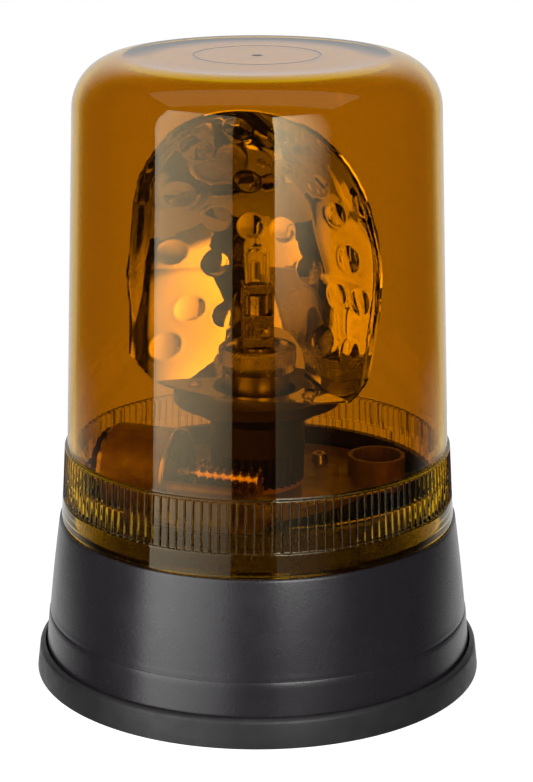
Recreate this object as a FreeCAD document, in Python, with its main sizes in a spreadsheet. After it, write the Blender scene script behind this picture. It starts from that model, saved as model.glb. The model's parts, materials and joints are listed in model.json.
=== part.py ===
"""Rotating beacon: parametric model of the whole assembly, in millimetres.

The frame has +Z up, and its origin is the centre of the rubber foot's underside. The motor
lies along X, with its worm in front of the rotor column, and the reflector faces -Y at rest.
Every driving dimension is a cell of the sheet "Sizes". Each sub-part is one labelled object.
"""
import FreeCAD, Part
import math
import os
import Sketcher
from FreeCAD import Rotation, Vector

DRIVING_SIZES = (
    # alias, value, meaning
    ("foot_radius", 82.2, "outside of the rubber foot"),
    ("foot_height", 10.6, "top of the foot's rim"),
    ("foot_thickness", 3.5, "rubber under the housing"),
    ("foot_lip_radius", 79.1, "inside of the foot's rim"),
    ("foot_hole_radius", 42.0, "open middle of the foot"),
    ("foot_edge_round", 1.4, "rounding of the rim"),
    ("fixing_circle", 130.0, "pitch circle of the three fixings"),
    ("fixing_clearance_radius", 3.3, "fixing holes in the foot"),
    ("insert_radius", 3.5, "threaded insert, outside"),
    ("insert_bore_radius", 2.5, "threaded insert, M5 bore"),
    ("insert_length", 10.0, "threaded insert, length"),
    ("insert_boss_radius", 7.0, "boss round an insert"),
    ("insert_boss_top", 18.0, "top of the insert bosses"),
    ("base_bottom_radius", 78.6, "housing at its underside"),
    ("base_line_radius", 77.05, "housing at the scribed line"),
    ("base_line_height", 22.5, "height of the scribed line"),
    ("base_line_depth", 0.35, "depth of the scribed line"),
    ("base_line_width", 0.5, "width of the scribed line"),
    ("base_top_radius", 72.7, "housing at its shoulder"),
    ("base_wall", 2.8, "wall of the housing"),
    ("base_floor", 3.0, "floor of the housing"),
    ("shoulder_height", 58.3, "shoulder under the lens"),
    ("collar_radius", 67.3, "outside of the collar"),
    ("collar_bore_radius", 64.5, "inside of the collar"),
    ("collar_top", 72.5, "top of the collar"),
    ("lug_radius", 69.0, "outside of the bayonet lugs"),
    ("lug_bottom", 67.5, "underside of the lugs"),
    ("lug_top", 70.0, "top of the lugs"),
    ("lug_angle", 17.0, "width of a lug in degrees"),
    ("seal_inner_radius", 68.4, "lens seal, inside"),
    ("seal_outer_radius", 71.1, "lens seal, outside"),
    ("seal_bottom", 57.0, "floor of the seal's groove"),
    ("seal_gap", 0.05, "free height between seal and lens"),
    ("cable_hole_radius", 8.0, "cable hole in the floor"),
    ("cable_radius", 3.5, "bore of the grommet"),
    ("grommet_flange_radius", 11.0, "flange of the grommet"),
    ("grommet_flange", 2.0, "thickness of each flange"),
    ("lens_bottom", 58.5, "lower edge of the lens"),
    ("lens_skirt_radius", 72.0, "skirt at its lower edge"),
    ("lens_bore_radius", 67.6, "skirt, inside"),
    ("lens_band_bottom", 67.1, "lower end of the grip band"),
    ("lens_band_top", 85.8, "upper end of the grip band"),
    ("lens_band_low_radius", 71.3, "grip band at its lower end"),
    ("lens_band_high_radius", 70.1, "grip band at its upper end"),
    ("lens_rib_count", 144, "ribs round the grip band"),
    ("lens_rib_width", 0.9, "crest of a rib"),
    ("lens_rib_height", 0.55, "rib over the flute beside it"),
    ("lens_rib_foot", 0.2, "how much wider a rib's foot is than its crest, on each side"),
    ("lens_bore_top", 76.5, "top of the wide bore"),
    ("lens_wall_start", 89.0, "start of the plain dome wall"),
    ("lens_wall_radius", 69.25, "dome at the start of its wall"),
    ("lens_height", 227.1, "top of the lens"),
    ("lens_crown_radius", 64.6, "wall carried up to the top"),
    ("lens_wall", 2.6, "thickness of the lens"),
    ("lens_corner", 18.5, "corner of the dome"),
    ("track_radius", 69.2, "floor of the bayonet tracks"),
    ("track_top", 75.6, "ceiling of the tracks"),
    ("track_angle", 69.0, "length of a track in degrees"),
    ("track_end", 9.0, "closed end of the first track in degrees"),
    ("slot_angle", 20.5, "width of an entry slot in degrees"),
    ("plate_radius", 62.5, "round edge of the chassis plate"),
    ("plate_top", 66.0, "top of the chassis plate"),
    ("plate_thickness", 3.0, "thickness of the chassis plate"),
    ("tower_circle_radius", 50.0, "distance of the chassis screws"),
    ("tower_radius", 5.0, "screw towers of the housing"),
    ("tower_bore_radius", 1.5, "pilot bore of the towers"),
    ("tower_bore_depth", 14.0, "depth of the pilot bore"),
    ("well_radius", 10.8, "screw well, outside"),
    ("well_wall", 1.4, "wall of the screw well"),
    ("well_top", 73.5, "rim of the screw well"),
    ("pad_radius", 6.0, "low screw pads"),
    ("pad_height", 1.2, "height of the low screw pads"),
    ("screw_head_radius", 3.0, "chassis screw head"),
    ("screw_head_height", 2.2, "chassis screw head"),
    ("screw_length", 14.0, "chassis screw under its head"),
    ("motor_axis_height", 77.5, "height of the motor and worm"),
    ("motor_radius", 13.85, "motor can"),
    ("motor_front", 23.4, "distance of the motor's front face"),
    ("motor_length", 25.6, "motor can"),
    ("motor_cap_length", 3.0, "rear cap of the motor"),
    ("motor_cap_radius", 13.3, "rear cap of the motor"),
    ("motor_boss_radius", 3.2, "front bush of the motor"),
    ("motor_boss_end", 17.5, "distance of the bush's front"),
    ("sleeve_radius", 15.6, "cast sleeve, outside"),
    ("sleeve_length", 23.4, "cast sleeve"),
    ("shaft_radius", 1.5, "motor shaft"),
    ("shaft_clearance", 0.03, "running clearance of the shaft"),
    ("worm_start", 14.7, "distance of the worm's inner end"),
    ("worm_end", 9.5, "distance of the worm's free end"),
    ("worm_distance", 20.3, "distance of worm axis and rotor axis"),
    ("gear_module", 1.0, "axial module of the worm"),
    ("worm_pitch_radius", 4.3, "pitch cylinder of the worm"),
    ("wheel_teeth", 32.0, "teeth of the worm wheel"),
    ("flank_angle", 20.0, "pressure angle in degrees"),
    ("tooth_thinning", 0.15, "taken off each tooth for backlash"),
    ("wheel_bottom", 72.0, "lower face of the rotor"),
    ("wheel_top", 83.7, "upper end of the teeth"),
    ("column_radius", 17.4, "rotor column"),
    ("column_top", 95.0, "start of the rotor's cone"),
    ("disc_radius", 30.3, "rotor disc"),
    ("disc_rim_bottom", 102.0, "underside of the disc's rim"),
    ("disc_top", 106.0, "top of the rotor disc"),
    ("disc_bore_radius", 14.0, "hole round the socket"),
    ("post_radius", 12.0, "bearing post"),
    ("post_bore_radius", 9.0, "bearing post, inside"),
    ("post_top", 101.6, "top of the bearing post"),
    ("post_flange_radius", 16.5, "foot flange of the post"),
    ("post_flange_top", 70.5, "top of the post's flange"),
    ("washer_radius", 16.0, "thrust washer"),
    ("bush_clearance", 0.05, "running clearance of the bushes"),
    ("bush_radius", 13.2, "rotor bushes, outside"),
    ("bush_length", 8.0, "rotor bushes"),
    ("ring_groove_height", 100.1, "groove of the retaining ring"),
    ("ring_groove_radius", 11.3, "bottom of the groove"),
    ("ring_thickness", 0.8, "retaining ring"),
    ("ring_radius", 13.4, "retaining ring, outside"),
    ("socket_radius", 11.7, "bulb socket"),
    ("socket_top", 113.3, "shoulder under the knurled ring"),
    ("socket_spigot", 8.0, "spigot of the socket in the post"),
    ("neck_radius", 10.8, "threaded neck of the socket"),
    ("neck_top", 119.5, "top of the neck"),
    ("knurl_radius", 14.25, "knurled ring"),
    ("knurl_top", 122.0, "top of the knurled ring"),
    ("knurl_line", 117.0, "lower end of the knurl"),
    ("knurl_bore_radius", 11.4, "mouth of the knurled ring"),
    ("knurl_lip_radius", 10.0, "lip over the clamp plate"),
    ("bulb_flange_radius", 7.25, "flange of the P14.5s cap"),
    ("bulb_flange_thickness", 1.0, "flange of the P14.5s cap"),
    ("bulb_cap_radius", 4.4, "cap under the flange"),
    ("bulb_cap_bottom", 112.0, "contact end of the cap"),
    ("bulb_shell_width", 11.0, "metal holder of the bulb"),
    ("bulb_shell_depth", 10.2, "metal holder of the bulb"),
    ("bulb_shell_top", 145.2, "metal holder of the bulb"),
    ("bulb_glass_radius", 4.4, "glass of the bulb"),
    ("bulb_top", 162.0, "tip of the bulb"),
    ("bulb_pinch", 3.2, "thickness of the pinched glass"),
    ("filament_height", 146.0, "filament and focus of the reflector"),
    ("filament_length", 5.0, "filament"),
    ("focal_length", 21.6, "focal length of the reflector"),
    ("reflector_sheet", 0.8, "thickness of the reflector"),
    ("reflector_half_width", 48.0, "widest part of the reflector"),
    ("reflector_top", 209.5, "top of the reflector"),
    ("reflector_foot_front", 19.0, "front of the reflector's foot"),
    ("reflector_foot_half", 36.3, "half width of the reflector's foot"),
    ("rivet_spacing", 44.0, "spacing of the reflector's rivets"),
    ("rivet_forward", 6.0, "rivets in front of the axis"),
)

TOWER_ANGLES = (46.0, 150.0, 255.0)
RING_DEPTH = 0.8  # how far outside the lens's bore the ribbed ring starts
RIB_BED = 0.2  # how far the plain section lies under the flutes
LUG_ANGLES = (0.0, 120.0, 240.0)
FIXING_ANGLES = (90.0, 210.0, 330.0)

document = FreeCAD.newDocument("RotatingBeacon")
sheet = document.addObject("Spreadsheet::Sheet", "Sizes")


class Size:
    """A number together with the sheet formula that it comes from."""

    def __init__(self, number, formula):
        self.number = float(number)
        self.formula = formula

    def _with(self, other, sign, number):
        other_formula = other.formula if isinstance(other, Size) else repr(float(other))
        return Size(number, f"({self.formula} {sign} {other_formula})")

    def __add__(self, other):
        return self._with(other, "+", self.number + float(other))

    def __sub__(self, other):
        return self._with(other, "-", self.number - float(other))

    def __mul__(self, other):
        return self._with(other, "*", self.number * float(other))

    def __truediv__(self, other):
        return self._with(other, "/", self.number / float(other))

    def __neg__(self):
        return Size(-self.number, f"(-{self.formula})")

    def __float__(self):
        return self.number


def fill_sheet():
    """Write the driving sizes into the sheet and return them by alias."""
    sizes = {}
    for row, (alias, value, meaning) in enumerate(DRIVING_SIZES, start=1):
        sheet.set(f"A{row}", alias)
        sheet.set(f"B{row}", str(value))
        sheet.set(f"C{row}", meaning)
        sheet.setAlias(f"B{row}", alias)
        sizes[alias] = Size(value, f"Sizes.{alias}")
    document.recompute()
    return sizes


S = fill_sheet()


def num(alias):
    """Return one driving size as a plain number, read from the sheet."""
    return float(sheet.get(alias))


def polar(radius, degrees, height=0.0):
    """Return the point at a radius and angle round Z."""
    angle = math.radians(degrees)
    return Vector(radius * math.cos(angle), radius * math.sin(angle), height)


def plane_of(body, role):
    """Return one of the body's own origin planes."""
    return next(item for item in body.Origin.OriginFeatures if item.Role == role)


def new_body(label):
    """Start a sub-part as a PartDesign body."""
    body = document.addObject("PartDesign::Body", label)
    body.Label = label
    return body


def new_sketch(body, name, role="XZ_Plane", height=None):
    """Add a sketch on an origin plane of the body, lifted by a height where one is given."""
    sketch = body.newObject("Sketcher::SketchObject", f"{body.Name}_{name}")
    sketch.AttachmentSupport = [(plane_of(body, role), "")]
    sketch.MapMode = "FlatFace"
    if height is not None:
        sketch.AttachmentOffset = FreeCAD.Placement(Vector(0, 0, float(height)), Rotation())
        sketch.setExpression(".AttachmentOffset.Base.z", height.formula)
    return sketch


def bind(sketch, kind, geometry, point, size):
    """Hold a point of the sketch at a distance from its origin along one axis."""
    index = sketch.addConstraint(
        Sketcher.Constraint(kind, -1, 1, geometry, point, float(size)))
    if isinstance(size, Size):
        sketch.setExpression(f"Constraints[{index}]", size.formula)


def draw_outline(sketch, corners):
    """Draw a closed outline of straight runs whose corners follow the sheet."""
    first = sketch.GeometryCount
    count = len(corners)
    ends = [Vector(float(across), float(up), 0) for across, up in corners]
    for index, start in enumerate(ends):
        sketch.addGeometry(Part.LineSegment(start, ends[(index + 1) % count]), False)
    for index in range(count):
        following = first + (index + 1) % count
        sketch.addConstraint(
            Sketcher.Constraint("Coincident", first + index, 2, following, 1))
    for index, (across, up) in enumerate(corners):
        bind(sketch, "DistanceX", first + index, 1, across)
        bind(sketch, "DistanceY", first + index, 1, up)


def draw_circle(sketch, radius, across=0.0, up=0.0):
    """Draw a circle whose radius follows the sheet."""
    centre = Vector(float(across), float(up), 0)
    geometry = sketch.addGeometry(Part.Circle(centre, Vector(0, 0, 1), float(radius)), False)
    index = sketch.addConstraint(Sketcher.Constraint("Radius", geometry, float(radius)))
    if isinstance(radius, Size):
        sketch.setExpression(f"Constraints[{index}]", radius.formula)
    bind(sketch, "DistanceX", geometry, 3, across)
    bind(sketch, "DistanceY", geometry, 3, up)


def revolve(body, name, corners, axis="V_Axis", cut=False):
    """Turn an outline round an axis of its sketch, adding to the body or cutting it."""
    sketch = new_sketch(body, name)
    draw_outline(sketch, corners)
    kind = "PartDesign::Groove" if cut else "PartDesign::Revolution"
    feature = body.newObject(kind, f"{sketch.Name}_turned")
    feature.Profile = sketch
    feature.ReferenceAxis = (sketch, [axis])
    feature.Angle = 360
    sketch.Visibility = False
    return feature


def extrude(body, sketch, length, cut=False, downwards=False):
    """Pad or pocket a sketch by a length of the sheet."""
    kind = "PartDesign::Pocket" if cut else "PartDesign::Pad"
    feature = body.newObject(kind, f"{sketch.Name}_run")
    feature.Profile = sketch
    feature.Length = float(length)
    if isinstance(length, Size):
        feature.setExpression("Length", length.formula)
    feature.Reversed = downwards
    sketch.Visibility = False
    return feature


def repeat_round(body, features, count=3):
    """Repeat features of the body at equal angles round Z."""
    pattern = body.newObject("PartDesign::PolarPattern", f"{body.Name}_{features[0].Name}_round")
    pattern.Originals = features
    pattern.Axis = (next(item for item in body.Origin.OriginFeatures
                         if item.Role == "Z_Axis"), [""])
    pattern.Angle = 360
    pattern.Occurrences = count
    body.Tip = pattern
    return pattern


def round_edges(body, name, radius, chosen):
    """Round those edges of the body's last feature that a test picks."""
    document.recompute()
    base = body.Tip
    names = [f"Edge{index}" for index, edge in enumerate(base.Shape.Edges, start=1)
             if chosen(edge)]
    feature = body.newObject("PartDesign::Fillet", f"{body.Name}_{name}")
    feature.Base = (base, names)
    feature.Radius = float(radius)
    if isinstance(radius, Size):
        feature.setExpression("Radius", radius.formula)
    return feature


def ring_edge_at(radius, height):
    """Return a test for the round edge at a radius and height."""
    def chosen(edge):
        box = edge.BoundBox
        flat = abs(box.ZMax - box.ZMin) < 0.01
        return (flat and abs(box.ZMax - float(height)) < 0.02
                and abs(box.XMax - float(radius)) < 0.05)
    return chosen


def set_solid(label, shape):
    """Add a sub-part whose shape comes from Part's own functions."""
    feature = document.addObject("Part::Feature", label)
    feature.Label = label
    feature.Shape = shape
    return feature


def turned(corners):
    """Return the solid that an outline of (radius, height) corners makes round Z."""
    ends = [Vector(radius, 0, height) for radius, height in corners]
    face = Part.Face(Part.makePolygon(ends + ends[:1]))
    return face.revolve(Vector(), Vector(0, 0, 1), 360)


def along_x(shape, x=0.0):
    """Lay a shape that was made along Z onto the motor's axis."""
    laid = shape.copy()
    laid.Placement = FreeCAD.Placement(
        Vector(x, -num("worm_distance"), num("motor_axis_height")),
        Rotation(Vector(0, 1, 0), 90))
    return laid


def on_motor_axis(body, x=0.0):
    """Place a body that was made along Z on the motor's axis, by formula."""
    body.Placement = FreeCAD.Placement(
        Vector(float(x), -num("worm_distance"), num("motor_axis_height")),
        Rotation(Vector(0, 1, 0), 90))
    body.setExpression(".Placement.Base.y", (-S["worm_distance"]).formula)
    body.setExpression(".Placement.Base.z", S["motor_axis_height"].formula)
    if isinstance(x, Size):
        body.setExpression(".Placement.Base.x", x.formula)


# ---------------------------------------------------------------- base

def make_rubber_foot():
    """Rubber foot: a wide ring with a raised rim that grips the housing."""
    body = new_body("rubber_foot")
    top, sole = S["foot_height"], S["foot_thickness"]
    revolve(body, "section", (
        (S["foot_hole_radius"], Size(0, "0")),
        (S["foot_radius"], Size(0, "0")),
        (S["foot_radius"], top),
        (S["foot_lip_radius"], top),
        (S["foot_lip_radius"], sole),
        (S["foot_hole_radius"], sole)))
    sketch = new_sketch(body, "holes", "XY_Plane", sole)
    for angle in FIXING_ANGLES:
        place = polar(num("fixing_circle") / 2, angle)
        draw_circle(sketch, S["fixing_clearance_radius"], place.x, place.y)
    extrude(body, sketch, sole, cut=True)
    round_edges(body, "rim", S["foot_edge_round"],
                ring_edge_at(S["foot_radius"], S["foot_height"]))


def base_section():
    """Return the corners of the housing's wall, floor, shoulder and collar."""
    bottom = S["foot_thickness"]
    floor_top = bottom + S["base_floor"]
    line, width = S["base_line_height"], S["base_line_width"]
    line_radius, depth = S["base_line_radius"], S["base_line_depth"]
    shoulder = S["shoulder_height"]
    underside = S["seal_bottom"] - S["base_wall"]
    return (
        (S["cable_hole_radius"], bottom),
        (S["base_bottom_radius"], bottom),
        (line_radius, line),
        (line_radius - depth, line),
        (line_radius - depth, line + width),
        (line_radius, line + width),
        (S["base_top_radius"], shoulder),
        (S["seal_outer_radius"], shoulder),
        (S["seal_outer_radius"], S["seal_bottom"]),
        (S["seal_inner_radius"], S["seal_bottom"]),
        (S["seal_inner_radius"], shoulder),
        (S["collar_radius"], shoulder),
        (S["collar_radius"], S["collar_top"]),
        (S["collar_bore_radius"], S["collar_top"]),
        (S["collar_bore_radius"], underside),
        (S["base_top_radius"] - S["base_wall"], underside),
        (S["base_bottom_radius"] - S["base_wall"], floor_top),
        (S["cable_hole_radius"], floor_top))


def make_base_housing():
    """Moulded housing with fixing bosses, screw towers and bayonet lugs."""
    body = new_body("base_housing")
    revolve(body, "section", base_section())
    floor_top = S["foot_thickness"] + S["base_floor"]
    tower_top = S["plate_top"] - S["plate_thickness"]

    bosses = new_sketch(body, "bosses", "XY_Plane", floor_top)
    bores = new_sketch(body, "bores", "XY_Plane", S["foot_thickness"])
    for angle in FIXING_ANGLES:
        place = polar(num("fixing_circle") / 2, angle)
        draw_circle(bosses, S["insert_boss_radius"], place.x, place.y)
        draw_circle(bores, S["insert_radius"], place.x, place.y)
    extrude(body, bosses, S["insert_boss_top"] - floor_top)
    extrude(body, bores, S["insert_length"], cut=True, downwards=True)

    towers = new_sketch(body, "towers", "XY_Plane", floor_top)
    pilots = new_sketch(body, "pilots", "XY_Plane", tower_top)
    for angle in TOWER_ANGLES:
        place = polar(num("tower_circle_radius"), angle)
        draw_circle(towers, S["tower_radius"], place.x, place.y)
        draw_circle(pilots, S["tower_bore_radius"], place.x, place.y)
    extrude(body, towers, tower_top - floor_top)
    extrude(body, pilots, S["tower_bore_depth"], cut=True)

    lug = new_sketch(body, "lug", "XY_Plane", S["lug_bottom"])
    draw_arc_strip(lug, num("collar_radius") - 0.3, num("lug_radius"),
                   -num("lug_angle") / 2, num("lug_angle") / 2)
    lug_pad = extrude(body, lug, S["lug_top"] - S["lug_bottom"])
    repeat_round(body, [lug_pad], len(LUG_ANGLES))


def draw_arc_strip(sketch, inner, outer, start, end):
    """Draw the strip between two radii and two angles round the sketch's origin."""
    middle = (start + end) / 2
    corners = [polar(radius, angle) for radius, angle in
               ((inner, start), (outer, start), (outer, end), (inner, end))]
    outer_arc = Part.Arc(corners[1], polar(outer, middle), corners[2])
    inner_arc = Part.Arc(corners[3], polar(inner, middle), corners[0])
    sketch.addGeometry(Part.LineSegment(corners[0], corners[1]), False)
    sketch.addGeometry(outer_arc, False)
    sketch.addGeometry(Part.LineSegment(corners[2], corners[3]), False)
    sketch.addGeometry(inner_arc, False)


def make_mounting_inserts():
    """Three brass inserts, pressed into the housing's bosses from below."""
    bottom, length = num("foot_thickness"), num("insert_length")
    inserts = []
    for angle in FIXING_ANGLES:
        place = polar(num("fixing_circle") / 2, angle, bottom)
        outside = Part.makeCylinder(num("insert_radius"), length, place)
        bore = Part.makeCylinder(num("insert_bore_radius"), length, place)
        inserts.append(outside.cut(bore))
    set_solid("mounting_inserts", Part.makeCompound(inserts))


def make_cable_grommet():
    """Rubber grommet that clips into the cable hole of the floor."""
    body = new_body("cable_grommet")
    low, high = S["foot_thickness"], S["foot_thickness"] + S["base_floor"]
    bore, neck, flange = S["cable_radius"], S["cable_hole_radius"], S["grommet_flange_radius"]
    revolve(body, "section", (
        (bore, low - S["grommet_flange"]),
        (flange - 1.5, low - S["grommet_flange"]),
        (flange, low),
        (neck, low),
        (neck, high),
        (flange, high),
        (flange - 1.5, high + S["grommet_flange"]),
        (bore, high + S["grommet_flange"])))


def make_terminal_block():
    """Two-way screw terminal on the floor, where the supply leads end."""
    floor_top = num("foot_thickness") + num("base_floor")
    width, depth, height, step = 17.0, 12.0, 9.0, 4.0
    corner = Vector(-width / 2, 28.0, floor_top)
    block = Part.makeBox(width, depth, height, corner)
    notch = Part.makeBox(width, depth / 3, step, corner + Vector(0, 0, height - step))
    block = block.cut(notch)
    for side in (-1, 1):
        way = Vector(side * width / 4, corner.y + depth * 2 / 3, floor_top + height - 5.0)
        block = block.cut(Part.makeCylinder(2.2, 5.0, way))
    set_solid("terminal_block", block)


def make_suppressor_capacitor():
    """Film capacitor that suppresses the motor's brush noise."""
    floor_top = num("foot_thickness") + num("base_floor")
    size = Vector(18.0, 7.5, 13.0)
    box = Part.makeBox(size.x, size.y, size.z, Vector(-size.x / 2, -38.0, floor_top))
    upright = [edge for edge in box.Edges if edge.BoundBox.ZLength > size.z - 0.1]
    set_solid("suppressor_capacitor", box.makeFillet(1.0, upright))


def make_lens_seal():
    """Flat rubber ring in the groove of the shoulder."""
    body = new_body("lens_seal")
    top = S["lens_bottom"] - S["seal_gap"]
    revolve(body, "section", (
        (S["seal_inner_radius"], S["seal_bottom"]),
        (S["seal_outer_radius"], S["seal_bottom"]),
        (S["seal_outer_radius"], top),
        (S["seal_inner_radius"], top)))


# ---------------------------------------------------------------- chassis

def chassis_plate():
    """Return the cast plate: a round edge on the left, and a curved cut on the right."""
    radius, thickness = num("plate_radius"), num("plate_thickness")
    bottom = num("plate_top") - thickness
    start, end = polar(radius, 51.0, bottom), polar(radius, 285.0, bottom)
    cut_low, cut_high = Vector(15.0, -18.0, bottom), Vector(38.5, 29.0, bottom)
    rim = Part.Arc(start, polar(radius, 168.0, bottom), end)
    edges = (rim.toShape(),
             Part.makeLine(end, cut_low),
             Part.Arc(cut_low, Vector(30.5, 9.0, bottom), cut_high).toShape(),
             Part.makeLine(cut_high, start))
    return Part.Face(Part.Wire(edges)).extrude(Vector(0, 0, thickness))


def front_guard():
    """Return the cast guard in front of the worm, with a rounded top."""
    width, reach, top = 4.2, 3.0, 77.3
    start = -num("motor_front") + 0.4
    bottom = num("plate_top") - num("plate_thickness")
    guard = Part.makeBox(reach - start, width, top - bottom, Vector(start, -33.4, bottom))
    rounded = [edge for edge in guard.Edges
               if edge.BoundBox.ZMin > top - 0.1 and edge.BoundBox.XLength > 5.0]
    guard = guard.makeFillet(2.0, rounded)
    outer = [edge for edge in guard.Edges if edge.BoundBox.XMin > reach - 0.1]
    return guard.makeFillet(1.4, outer)


def make_chassis():
    """Die-cast chassis: plate, motor sleeve, worm guard, screw well and pads."""
    top, thickness = num("plate_top"), num("plate_thickness")
    bottom = top - thickness
    sleeve_x = -(num("motor_front") + num("sleeve_length"))
    sleeve = along_x(Part.makeCylinder(num("sleeve_radius"), num("sleeve_length")), sleeve_x)
    mouth = [edge for edge in sleeve.Edges if edge.BoundBox.XMin > -num("motor_front") - 0.1]
    sleeve = sleeve.makeFillet(1.2, mouth)
    well_place = polar(num("tower_circle_radius"), TOWER_ANGLES[0], bottom)
    well = Part.makeCylinder(num("well_radius"), num("well_top") - bottom, well_place)
    pads = [Part.makeCylinder(num("pad_radius"), thickness + num("pad_height"),
                              polar(num("tower_circle_radius"), angle, bottom))
            for angle in TOWER_ANGLES[1:]]
    body = chassis_plate().multiFuse([sleeve, front_guard(), well] + pads)

    motor_room = along_x(Part.makeCylinder(num("motor_radius"), num("sleeve_length") + 0.1),
                         sleeve_x)
    rear_room = along_x(Part.makeCylinder(num("motor_radius") + 0.5, 12.0), sleeve_x - 12.0)
    well_room = Part.makeCylinder(num("well_radius") - num("well_wall"), 20.0,
                                  Vector(well_place.x, well_place.y, top))
    post_room = Part.makeCylinder(num("post_radius"), 10.0, Vector(0, 0, bottom - 1.0))
    holes = [Part.makeCylinder(num("tower_bore_radius") + 0.2, 12.0,
                               polar(num("tower_circle_radius"), angle, bottom - 1.0))
             for angle in TOWER_ANGLES]
    chassis = body.cut([motor_room, rear_room, well_room, post_room] + holes)
    set_solid("chassis", chassis.removeSplitter())


def make_chassis_screws():
    """Three pan-head screws that hold the chassis to the housing's towers."""
    screws = []
    for index, angle in enumerate(TOWER_ANGLES):
        seat = num("plate_top") + (num("pad_height") if index else 0.0)
        head, shank = num("screw_head_radius"), num("tower_bore_radius")
        length = num("screw_length")
        screw = turned(((0, -length), (shank, -length), (shank, 0), (head, 0),
                        (head, 1.0), (head * 0.6, num("screw_head_height")),
                        (0, num("screw_head_height"))))
        screw.Placement.Base = polar(num("tower_circle_radius"), angle, seat)
        screws.append(screw)
    set_solid("chassis_screws", Part.makeCompound(screws))


def make_deck_rivet():
    """Hollow rivet that earths the deck."""
    top = num("plate_top")
    rivet = turned(((1.3, 0), (3.5, 0), (2.6, 3.2), (2.2, 3.5), (1.3, 3.5)))
    rivet.Placement.Base = Vector(9.5, 42.0, top)
    set_solid("deck_rivet", rivet)


def make_bearing_post():
    """Fixed hollow post that the rotor turns on."""
    body = new_body("bearing_post")
    bottom = S["plate_top"] - S["plate_thickness"]
    ring_low = S["ring_groove_height"]
    ring_high = ring_low + S["ring_thickness"]
    revolve(body, "section", (
        (S["post_bore_radius"], bottom),
        (S["post_radius"], bottom),
        (S["post_radius"], S["plate_top"]),
        (S["post_flange_radius"], S["plate_top"]),
        (S["post_flange_radius"], S["post_flange_top"]),
        (S["post_radius"], S["post_flange_top"]),
        (S["post_radius"], ring_low),
        (S["ring_groove_radius"], ring_low),
        (S["ring_groove_radius"], ring_high),
        (S["post_radius"], ring_high),
        (S["post_radius"], S["post_top"]),
        (S["post_bore_radius"], S["post_top"])))


def make_thrust_washer():
    """Slippery washer between the post's flange and the rotor."""
    body = new_body("thrust_washer")
    top = S["wheel_bottom"] - S["bush_clearance"]
    revolve(body, "section", (
        (S["post_radius"], S["post_flange_top"]),
        (S["washer_radius"], S["post_flange_top"]),
        (S["washer_radius"], top),
        (S["post_radius"], top)))


def make_retaining_ring():
    """Snap ring that keeps the rotor on its post."""
    ring = turned(((num("ring_groove_radius"), 0), (num("ring_radius"), 0),
                   (num("ring_radius"), num("ring_thickness")),
                   (num("ring_groove_radius"), num("ring_thickness"))))
    gap = Part.makeBox(4.0, 10.0, 2.0, Vector(-2.0, 8.0, -0.5))
    ring = ring.cut(gap)
    ring.Placement.Base = Vector(0, 0, num("ring_groove_height"))
    set_solid("retaining_ring", ring)


# ---------------------------------------------------------------- rotor

def involute_radius_angle(base_radius, radius):
    """Return the involute's polar angle at a radius."""
    unwound = math.sqrt(max(radius * radius / (base_radius * base_radius) - 1.0, 0.0))
    return unwound - math.atan(unwound)


def wheel_outline(height, turn):
    """Return the worm wheel's closed outline at a height, turned by an angle."""
    module, teeth = num("gear_module"), int(num("wheel_teeth"))
    pitch = module * teeth / 2
    root, tip = pitch - 1.25 * module, pitch + module
    base = pitch * math.cos(math.radians(num("flank_angle")))
    half = (math.pi * module / 4 - num("tooth_thinning") / 2) / pitch
    lead = involute_radius_angle(base, pitch)
    flank = []
    for radius in (root, base + 0.1, pitch, (pitch + tip) / 2, tip):
        offset = half + lead - involute_radius_angle(base, max(radius, base))
        flank.append((radius, offset))
    points = []
    for tooth in range(teeth):
        centre = -math.pi / 2 + 2 * math.pi * tooth / teeth + turn
        for radius, offset in flank:
            points.append(polar(radius, math.degrees(centre - offset), height))
        for radius, offset in reversed(flank):
            points.append(polar(radius, math.degrees(centre + offset), height))
    return Part.makePolygon(points + points[:1])


def worm_wheel():
    """Return the helical toothed ring, in mesh with the worm at rest."""
    pitch_radius = num("gear_module") * num("wheel_teeth") / 2
    lead_slope = num("gear_module") / 2 / num("worm_pitch_radius")
    turn_per_height = lead_slope / pitch_radius
    low, high = num("wheel_bottom"), num("wheel_top")
    axis_height = num("motor_axis_height")
    outlines = [wheel_outline(height, (height - axis_height) * turn_per_height)
                for height in (low, high)]
    return Part.makeLoft(outlines, True, True)


def make_rotor_hub():
    """Moulded rotor: toothed foot, column, cone and disc in one piece."""
    bush, disc_bore = num("bush_radius"), num("disc_bore_radius")
    bore_top = num("ring_groove_height") - 0.1
    wheel_top = num("wheel_top")
    column = turned((
        (bush, wheel_top), (num("column_radius"), wheel_top),
        (num("column_radius"), num("column_top")),
        (num("disc_radius") - 1.3, num("disc_rim_bottom")),
        (num("disc_radius"), num("disc_rim_bottom")),
        (num("disc_radius"), num("disc_top")),
        (disc_bore, num("disc_top")), (disc_bore, bore_top), (bush, bore_top)))
    bore = Part.makeCylinder(bush, 60.0, Vector(0, 0, 60.0))
    hub = worm_wheel().cut(bore).fuse(column)
    for rivet in rivet_places():
        hub = hub.cut(Part.makeCylinder(1.5, 5.0, rivet - Vector(0, 0, 5.0)))
    set_solid("rotor_hub", hub.removeSplitter())


def rivet_places():
    """Return where the reflector's rivets enter the rotor disc."""
    half = num("rivet_spacing") / 2
    return [Vector(side * half, -num("rivet_forward"), num("disc_top")) for side in (-1, 1)]


def make_rotor_bush(label, bottom):
    """Sintered bush pressed into the rotor, which runs on the post."""
    body = new_body(label)
    inner = S["post_radius"] + S["bush_clearance"]
    top = bottom + S["bush_length"]
    revolve(body, "section", (
        (inner, bottom), (S["bush_radius"], bottom), (S["bush_radius"], top), (inner, top)))


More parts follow.
